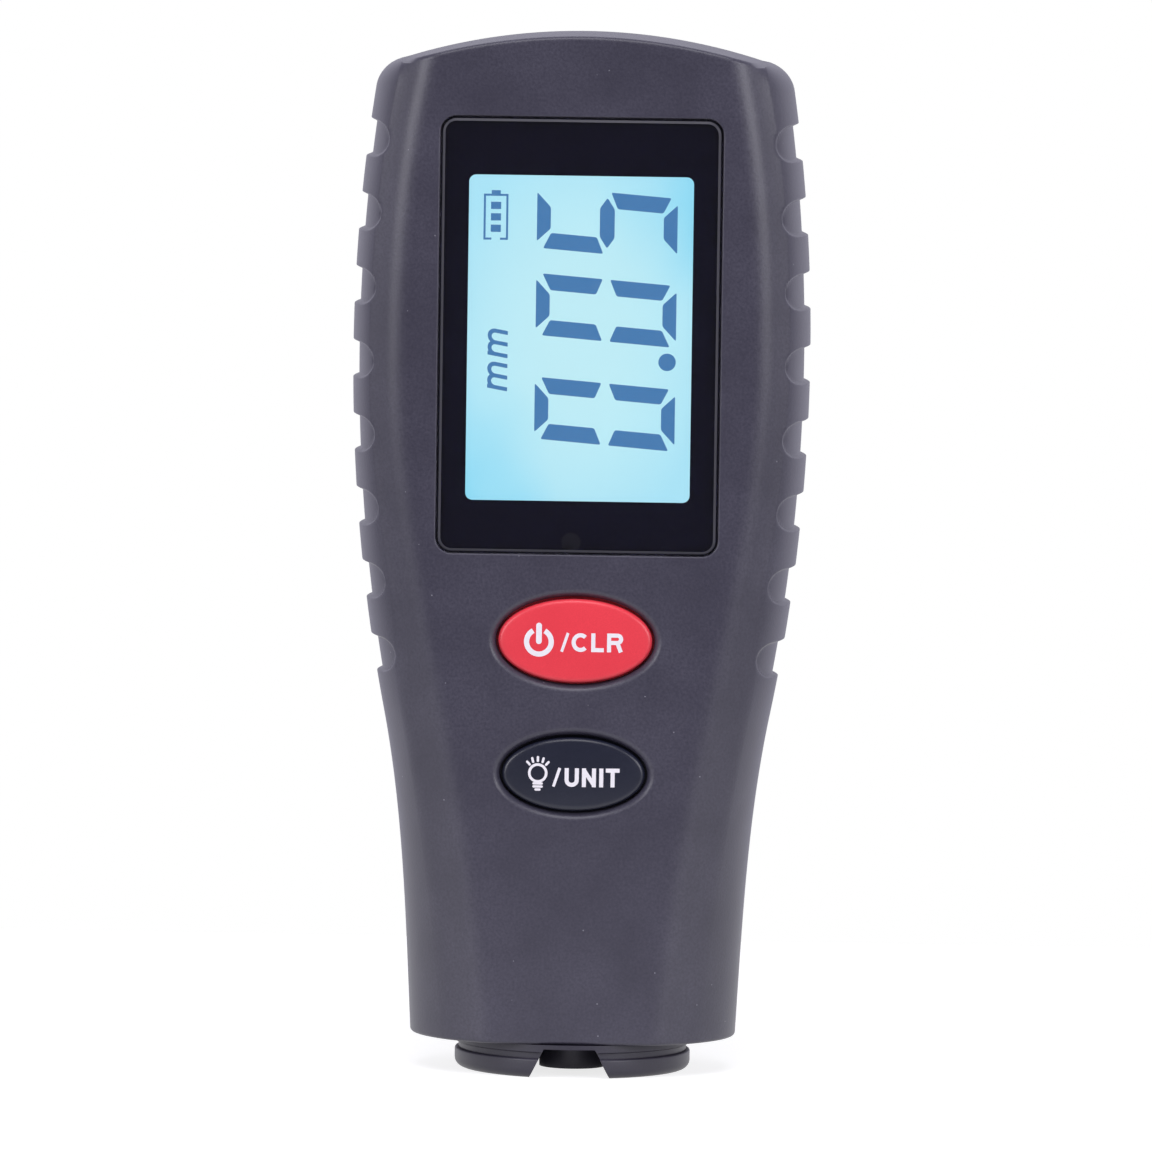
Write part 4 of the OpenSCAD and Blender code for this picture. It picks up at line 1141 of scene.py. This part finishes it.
# %% Display film
FILM_T = 0.1
FILM_FIT = 0.1
MIDDLE_FADE = (0.1, 1.5)
CORNER_FADE = (0.08, 0.48)


def lit_display():
    """The front film of the display: pale cyan light, paler in the middle and bluer towards two corners."""
    material, tree, shader, place = start_material("lit_display_film", Roughness=0.4, Emission_Strength=1.07,
                                                   Base_Color=linear("#1e2628"))
    where = add(tree, "ShaderNodeSeparateXYZ", {0: place}).outputs
    low_z, high_z = LCD_ZC - LCD_H / 2, LCD_ZC + LCD_H / 2
    across = spread(tree, where[0], (-LCD_W / 2 * MM, LCD_W / 2 * MM), (-1.0, 1.0))
    up = spread(tree, where[2], (low_z * MM, high_z * MM), (-1.0, 1.0))
    flat = add(tree, "ShaderNodeCombineXYZ", {0: across, 1: up}).outputs[0]
    far = add(tree, "ShaderNodeVectorMath", {0: flat, 1: flat}, operation="DOT_PRODUCT").outputs["Value"]
    pale = tinted(tree, spread(tree, far, MIDDLE_FADE), "#c0edf6", "#abe5f7")
    corner = maths(tree, "MULTIPLY", across, up)
    patchy = maths(tree, "MULTIPLY", corner, noise(tree, place, 9, 1.0))
    glow = tinted(tree, spread(tree, patchy, CORNER_FADE), pale, "#8fdcf5")
    tree.links.new(glow, shader.inputs["Emission Color"])
    return material


display = lit_display()
display_y = glass_low[1] - FILM_T
film_w, film_h = VIEW_W - 2 * FILM_FIT, VIEW_H - 2 * FILM_FIT
sheet = Skin()
sheet.plug([rectangle(film_w, film_h, WINDOW_R / 2, y, WINDOW_ZC) for y in (display_y, glass_low[1])])
dress(sheet.mesh("display_film"), "housing", display)

# %% [markdown]
# ## Display figures
# The reading runs up the display, so each figure is drawn upright with u along the line and v up the
# letter, leans to the right, and is then turned. Seven bars make a figure. Their ends are mitred so that
# neighbours leave an even gap, and their corners are slightly round. The unit is two slanted letters, and a
# battery sign stands at the end.

# %% Display figures
FIGURE_W = 6.5
FIGURE_H = 14.75
FIGURE_FOOT_X = 10.1
FIGURE_LEAN = 0.08
END_T = 1.45
SIDE_T = 1.68
MIDDLE_T = 1.56
CORNER_R = 0.22
END_IN = 0.68
SIDE_IN = 0.66
SIDE_LOW = (0.38, 1.08)
MIDDLE_IN = (0.6, 1.75)
POINT = (9.2, 75.6, 0.92)
FIGURE_T = 0.02
READING = (("0", 70.05), ("0", 80.95), ("5", 90.1))
BARS = {"0": "abcdef", "5": "acdfg"}


def softened(outline, r):
    """An outline with each corner rounded off by about r."""
    outline = np.asarray(outline, float)
    rounded = []
    for before, corner, after in zip(np.roll(outline, 1, axis=0), outline, np.roll(outline, -1, axis=0)):
        start = corner + (before - corner) / np.linalg.norm(before - corner) * r
        end = corner + (after - corner) / np.linalg.norm(after - corner) * r
        rounded.append(curve(np.linspace(0, 1, 5), start, corner, end))
    return np.vstack(rounded)


def turned_up(outline, foot_x, middle_z, lean):
    """Lays an upright outline of u, v pairs on the display so that it reads upward."""
    outline = np.asarray(outline, float)
    return np.stack([foot_x - outline[:, 1], middle_z + outline[:, 0] + lean * outline[:, 1]], axis=1)


def figure_bars():
    """The seven bars of a figure, named as on a data sheet, about its middle."""
    w, h, m = FIGURE_W / 2, FIGURE_H / 2, MIDDLE_T / 2
    out, inner = w - END_IN, w - END_IN - END_T
    end = np.array([(-out, h), (out, h), (inner, h - END_T), (-inner, h - END_T)])
    side = np.array([(w, h - SIDE_IN), (w, SIDE_LOW[0]), (w - SIDE_T, SIDE_LOW[1]),
                     (w - SIDE_T, h - SIDE_IN - SIDE_T / 2)])
    tip, flat = w - MIDDLE_IN[0], w - MIDDLE_IN[1]
    middle = np.array([(-tip, 0), (-flat, m), (flat, m), (tip, 0), (flat, -m), (-flat, -m)])
    return {"a": end, "b": side, "c": side * (1, -1), "d": end * (1, -1), "e": side * (-1, -1),
            "f": side * (-1, 1), "g": middle}


figures = []
for sign, middle_z in READING:
    for name in BARS[sign]:
        bar = softened(figure_bars()[name], CORNER_R) + (0, FIGURE_H / 2)
        figures.append(turned_up(bar, FIGURE_FOOT_X, middle_z - FIGURE_LEAN * FIGURE_H / 2, FIGURE_LEAN))
figures.append(arc(*POINT, 0, 345, 24))
print(len(figures) - 1, "bars and a point")

# %% Display signs
UNIT_FOOT_X = -7.55
UNIT_STARTS = (72.5, 75.98)
STEM_PITCH = 1.22
STEM_STROKE = 0.42
UNIT_H = 1.9
UNIT_LEAN = 0.18
for start in UNIT_STARTS:
    strokes = [[(0, 0), (0, UNIT_H + STEM_STROKE / 2)]]
    bend = STEM_PITCH / 2
    for k in range(2):
        hump = arc((k + 0.5) * STEM_PITCH, UNIT_H - bend, bend, 165, 5, 14)
        strokes.append([*hump, ((k + 1) * STEM_PITCH, UNIT_H - bend), ((k + 1) * STEM_PITCH, 0)])
    figures += [turned_up(stroke(s, STEM_STROKE), UNIT_FOOT_X, start, UNIT_LEAN) for s in strokes]

SIGN_MIDDLE_X = -8.96
SIGN_Z0 = 88.2
SIGN_W = 2.36
SIGN_H = 4.6
SIGN_LINE = 0.22
CELL_BAR = (1.06, 0.76)
CELL_RISE = 0.82
CELL_PITCH = 1.2
CASE_GAP = 0.45
CASE_CAP = (SIGN_H + 0.1, 0.95, 0.5)
half = SIGN_W / 2
case = [(-CASE_GAP, 0), (-half, 0), (-half, SIGN_H), (half, SIGN_H), (half, 0), (CASE_GAP, 0)]
figures.append(stroke(np.array(case) + (SIGN_MIDDLE_X, SIGN_Z0 + SIGN_LINE / 2), SIGN_LINE))
tiles = [(CELL_RISE + k * CELL_PITCH, *CELL_BAR) for k in range(3)]
for z, w, h in (*tiles, CASE_CAP):
    tile = np.array([(-w / 2, z), (w / 2, z), (w / 2, z + h), (-w / 2, z + h)])
    figures.append(tile + (SIGN_MIDDLE_X, SIGN_Z0))
film("display_figures", figures, [], lambda x, z: display_y, FIGURE_T, "housing",
     segment_ink)

# %% [markdown]
# ## Collar
# The collar is moulded in dark acetal: a foot ring, a groove, and a neck that goes up into the housing. A
# round part is a profile swung round an axis. The notch across its foot is then cut with a prism.

# %% Collar
def turned(name, profile, count=192):
    """A closed ring of revolution about Z from a closed profile of radius, height pairs."""
    rows = [hoop(r, z, count) for r, z in profile]
    skin = Skin()
    skin.grid(rows + rows[:1], closed=True)
    return skin.mesh(name)


COLLAR_R = collar_high[0]
RING_H = 2.1
GROOVE_H = 0.6
RING_GROOVE = 0.4
RING_EDGE_R = 0.95
BORE_R = 3.55
NECK_R = 8.6
NECK_RIM = (1.0, 1.8)
TUBE_R = 7.0
TUBE_TOP = 24.0
TUBE_BORE_R = 5.3
TUBE_FLOOR = 10.0
UPPER_EDGE_R = 0.25
FOOT_FLAT = 0.2
FLANGE_EDGE = 0.1
FLANGE_FIT = 0.05
rim_z = BOTTOM_Z + WALL + CLEAR
rim_top = rim_z + NECK_RIM[1]
groove_r = COLLAR_R - RING_GROOVE
groove_top = RING_H + GROOVE_H
flange_r = COLLAR_R - FLANGE_EDGE
flange_top = BOTTOM_Z - FLANGE_FIT
lower = [(COLLAR_R - out, up) for out, up in rounded_edge(RING_EDGE_R)]
upper = [(COLLAR_R - out, RING_H - down) for down, out in rounded_edge(UPPER_EDGE_R)]
profile = [
    (BORE_R, 0), (COLLAR_R - RING_EDGE_R - FOOT_FLAT, 0), *lower, *upper,
    (groove_r, RING_H), (groove_r, groove_top), (flange_r - FLANGE_EDGE, groove_top),
    (flange_r, groove_top + FLANGE_EDGE), (flange_r, flange_top), (NECK_R, flange_top),
    (NECK_R, rim_z), (NECK_R + NECK_RIM[0], rim_z), (NECK_R + NECK_RIM[0], rim_top), (TUBE_R, rim_top),
    (TUBE_R, TUBE_TOP), (TUBE_BORE_R, TUBE_TOP), (TUBE_BORE_R, TUBE_FLOOR), (BORE_R, TUBE_FLOOR),
]
collar = turned("collar", profile)
notch = Skin()
NOTCH_FOOT = 4.25
NOTCH_ROOF = 2.7
NOTCH_H = 3.1
flare = (NOTCH_FOOT - NOTCH_ROOF) / NOTCH_H
mouth = NOTCH_FOOT + flare * STUB
outline = [(-mouth, -STUB), (mouth, -STUB), (NOTCH_ROOF, NOTCH_H), (-NOTCH_ROOF, NOTCH_H)]
reach = COLLAR_R + STUB
notch.plug([np.array([(x, y, z) for x, z in outline]) for y in (-reach, reach)])
carve(collar, notch.mesh("notch"), "DIFFERENCE")
dress(collar, "housing", collar_pom, ["probe_collar"])

# %% [markdown]
# ## Housing screws
# Four zinc plated screws hold the shells together. Their pan heads sit deep in the rear counterbores, and
# each has a cross recess, which is a tapered cross cut out of the head.

# %% Metals
POLISH = 0.08


def metal(name, dark, light, roughness, grain):
    """A bare or plated metal whose tone and polish vary with a grain in millimetres."""
    material, tree, shader, place = start_material(name, Metallic=1.0)
    texture = noise(tree, place, grain, 4.0)
    tree.links.new(tinted(tree, texture, dark, light), shader.inputs["Base Color"])
    polish = spread(tree, texture, given=(roughness - POLISH, roughness + POLISH))
    tree.links.new(polish, shader.inputs["Roughness"])
    return material


# %% Housing screws
HEAD_R = 2.2
HEAD_SIDE = 1.0
HEAD_DOME = 0.8
SCREW_L = 9.0
CROSS_L = 2.5
CROSS_W = 0.7
CROSS_DEPTH = 1.1
CROSS_TAPER = 0.6
POINT_R = 0.3
DOME_STEPS = np.radians(np.linspace(0, 84, 10))
dome_y = SCREW_SEAT + HEAD_SIDE
top_y = dome_y + HEAD_DOME
end_y = SCREW_SEAT - SCREW_L
outline = [(POINT_R, end_y), (SCREW_R, end_y + SCREW_R), (SCREW_R, SCREW_SEAT), (HEAD_R, SCREW_SEAT)]
outline += [(HEAD_R * math.cos(a), dome_y + HEAD_DOME * math.sin(a)) for a in DOME_STEPS]
long, short = CROSS_L / 2, CROSS_W / 2
arm = np.array([(long, short), (short, short), (short, long)])
plus = np.vstack([arm, arm[::-1] * (-1, 1), -arm, arm[::-1] * (1, -1)])
screws = Skin()
cross = Skin()
for x, z in SCREWS:
    screws.plug([oval(2 * r, 2 * r, y, z, x) for r, y in outline])
    cross.plug([np.array([(x + a * k, y, z + b * k) for a, b in plus])
                for y, k in ((top_y - CROSS_DEPTH, CROSS_TAPER), (top_y + STUB, 1))])
plated = metal("zinc_plated_steel", "#a9abad", "#c3c5c6", 0.32, 0.4)
heads = carve(screws.mesh("housing_screw_set"), cross.mesh("cross"), "DIFFERENCE")
dress(heads, "housing", plated, ["housing_screws"])

# %% [markdown]
# ## Inner parts
# What lies inside keeps the solids from the construction model and gets the finish of its real material, but
# the probe sheath's colour is painted lighter, as painted light for the shade in the collar's notch.
# Most of it shows only when the battery door is open or the probe slides. Bands stand for turns of wire or
# stripes of rubber, and they are drawn coarser than the real 0.1 mm so that they can be told apart. A wave
# texture has 20 units of its scale to a band.

# %% Banded and plain inner materials
WAVE_UNITS = 20
JACKET_WEAR = 0.2
JACKET_STOPS = [(0, "#b9babb"), (0.03, "#27445f"), (0.7, "#dfe3e6"), (0.72, "#8fa3b3"), (0.96, "#b9babb")]
JACKET_MIDDLE = 0.495
JACKET_HALF = 0.465


def banded(name, dark, light, pitch, axis, roughness, metallic=0.0):
    """Stripes across one axis with a pitch in millimetres."""
    material, tree, shader, place = start_material(name, Roughness=roughness, Metallic=metallic)
    inputs = {"Vector": place, "Scale": per_mm(pitch) / WAVE_UNITS, "Distortion": 0.3}
    bands = add(tree, "ShaderNodeTexWave", inputs, bands_direction=axis).outputs["Fac"]
    tree.links.new(tinted(tree, bands, dark, light), shader.inputs["Base Color"])
    emboss(tree, shader, bands, pitch / 4, 0.4)
    return material


def cell_jacket(node, name):
    """The shrunk film on a dry cell: two tones with a bare steel rim at each end."""
    low, high = corners(node)
    material, tree, shader, place = start_material(name, Roughness=0.35, IOR=1.5)
    height = add(tree, "ShaderNodeSeparateXYZ", {0: place}).outputs[2]
    share = spread(tree, height, (low[2] * MM, high[2] * MM))
    tones = add(tree, "ShaderNodeValToRGB", {0: share})
    ramp = tones.color_ramp
    ramp.interpolation = "CONSTANT"
    for position, code in JACKET_STOPS[1:]:
        ramp.elements.new(position).color = linear(code)
    for k in (0, -1):
        ramp.elements[k].color = linear(JACKET_STOPS[k][1])
    print_tone = tones.outputs[0]
    worn = tinted(tree, noise(tree, place, 3, 3.0), print_tone, print_tone, blend_type="MULTIPLY")
    tree.links.new(tinted(tree, JACKET_WEAR, print_tone, worn), shader.inputs["Base Color"])
    far = maths(tree, "ABSOLUTE", maths(tree, "SUBTRACT", share, JACKET_MIDDLE))
    tree.links.new(maths(tree, "GREATER_THAN", far, JACKET_HALF), shader.inputs["Metallic"])
    return material


black_nylon = moulded("moulded_nylon_black", "#17171a", "#1e1e22", 0.2, 0.5)
pale_nylon = moulded("moulded_nylon_pale", "#d3d0c6", "#dedbd2", 0.2, 0.5)
nickel = metal("nickel_plated_spring_steel", "#b7b3aa", "#cfcbc2", 0.3, 0.6)
INNER = {
    "window_tape": moulded("closed_cell_foam_tape", "#26262a", "#323236", 0.12, 0.85, bump=0.05),
    "lcd_glass": moulded("display_float_glass", "#93a79c", "#a2b5aa", 4.0, 0.12, bump=0.0, ior=1.52),
    "lcd_backlight": moulded("milky_acrylic_light_guide", "#e2e8ea", "#f0f4f5", 0.8, 0.3, bump=0.004,
                             ior=1.49),
    "lcd_contact_strips": banded("striped_contact_rubber", "#1b1b1d", "#c79a92", 0.4, "X", 0.6),
    "main_board": moulded("solder_masked_laminate", "#12482c", "#1a5a38", 0.3, 0.4, bump=0.02, ior=1.55),
    "microcontroller": moulded("moulded_chip_epoxy", "#151517", "#1d1d20", 0.1, 0.6),
    "crystal": metal("drawn_steel_can", "#b5b6b7", "#c8c9ca", 0.28, 0.8),
    "capacitors": moulded("fired_ceramic", "#a98d66", "#bb9f77", 0.15, 0.45),
    "power_switch": black_nylon,
    "unit_switch": black_nylon,
    "power_switch_plunger": pale_nylon,
    "unit_switch_plunger": pale_nylon,
    "probe_guide": banded("turned_aluminium", "#b9bbbd", "#cdcfd1", 0.3, "Z", 0.3, metallic=1.0),
    # The probe sheath is black acetal, but its colour is painted a lighter grey: painted light that stands in
    # for the light it lacks in the shade of the collar's notch.
    "probe_body": moulded("black_acetal_sheath_painted_light", "#45424f", "#504d5a", 0.15, 0.4, bump=0.006, ior=1.48),
    "probe_tip": metal("ground_hard_steel_tip", "#8f9092", "#a5a6a8", 0.22, 0.3),
    "probe_core": moulded("sintered_ferrite", "#222124", "#2d2c30", 0.08, 0.55, bump=0.02),
    "probe_coil": banded("enamelled_copper_winding", "#7d3c1c", "#b86a35", 0.3, "Z", 0.3, metallic=1.0),
    "probe_spring": metal("drawn_spring_steel", "#8d8f92", "#a6a8ab", 0.3, 0.5),
    "cell_left": cell_jacket("cell_left", "printed_cell_jacket_left"),
    "cell_right": cell_jacket("cell_right", "printed_cell_jacket_right"),
    "bridge_plate": nickel,
    "terminal_plates": nickel,
    "contact_springs": nickel,
    "board_screws": plated,
}
for node, finish in INNER.items():
    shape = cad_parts[node]
    shape.data.materials.clear()
    shape.data.materials.append(finish)
print(len(INNER), "inner parts finished")

# %% [markdown]
# ## Light and floor
# The gauge stands in a plain studio: a white sheet behind it, two soft lamps on each side and one above.
# The sheet is white where it is seen directly, and it shows in reflections that look back at it. The room
# behind the camera is darker, so the window stays deep and the edges of the gauge get a pale rim.

# %% Studio
scene = bpy.context.scene
world = bpy.data.worlds.new("studio")
scene.world = world
world.use_nodes = True
FILL = 0.25
ROOM = 0.1
SHEET_TURN = (-0.5, 0.6)


def seen(tree):
    """Light path outputs of rays from the camera, and of rays that were mirrored or went through glass."""
    path = add(tree, "ShaderNodeLightPath")
    bent = maths(tree, "MAXIMUM", path.outputs["Is Glossy Ray"], path.outputs["Is Transmission Ray"])
    return path.outputs["Is Camera Ray"], bent


def studio_world(tree):
    """White where it is seen straight, a sheet behind the gauge in reflections, and else an even fill."""
    sky = tree.nodes["Background"]
    straight, bent = seen(tree)
    tree.links.new(tinted(tree, straight, "#f0eeff", "#ffffff"), sky.inputs["Color"])
    way = add(tree, "ShaderNodeTexCoord").outputs["Generated"]
    facing = add(tree, "ShaderNodeSeparateXYZ", {0: way}).outputs[1]
    sheet = spread(tree, facing, SHEET_TURN, (ROOM, 1.0), interpolation_type="SMOOTHSTEP")
    mirrored = spread(tree, bent, given=(FILL, sheet))
    tree.links.new(spread(tree, straight, given=(mirrored, 1.0)), sky.inputs["Strength"])


def softbox(name, place, size, power):
    """A square lamp that faces the middle of the gauge."""
    lamp = bpy.data.lights.new(name, "AREA")
    lamp.size = size
    lamp.energy = power
    lamp.color = linear("#faf9ff")[:3]
    made = bpy.data.objects.new(name, lamp)
    made.location = place
    ahead = Vector((0, 0, BODY_H / 2 * MM)) - Vector(place)
    made.rotation_euler = ahead.to_track_quat("-Z", "Y").to_euler()
    scene.collection.objects.link(made)


studio_world(world.node_tree)
softbox("left_softbox", (-0.62, -0.58, 0.28), 0.4, 3.1)
softbox("right_softbox", (0.62, -0.58, 0.28), 0.4, 3.1)
softbox("top_softbox", (0.0, -0.42, 0.72), 0.5, 3.2)
softbox("left_fill", (-0.78, -0.2, 0.15), 0.7, 1.0)
softbox("right_fill", (0.78, -0.2, 0.15), 0.7, 1.0)
print("lamps set")

# %% Floor
FLOOR_HALF = 0.13
FLOOR_LIFT = 0.78


def paper_sheet():
    """White card: its own light where it is seen, less where the gauge shades it."""
    material, tree, shader, place = start_material("white_card", Roughness=0.9,
                                                   Emission_Color=linear("#ffffff"))
    fibre = noise(tree, place, 2, 4.0)
    tree.links.new(tinted(tree, fibre, "#a8a8a8", "#b2b2b2"), shader.inputs["Base Color"])
    lift = maths(tree, "MULTIPLY", maths(tree, "MAXIMUM", *seen(tree)), FLOOR_LIFT)
    tree.links.new(lift, shader.inputs["Emission Strength"])
    return material


plane = bpy.data.meshes.new("floor")
square = [(-1, -1), (1, -1), (1, 1), (-1, 1)]
plane.from_pydata([(x * FLOOR_HALF, y * FLOOR_HALF, 0) for x, y in square], [], [(0, 1, 2, 3)])
plane.materials.append(paper_sheet())
floor = bpy.data.objects.new("floor", plane)
scene.collection.objects.link(floor)
print("floor set")

# %% Finish
scene.view_settings.view_transform = "Standard"
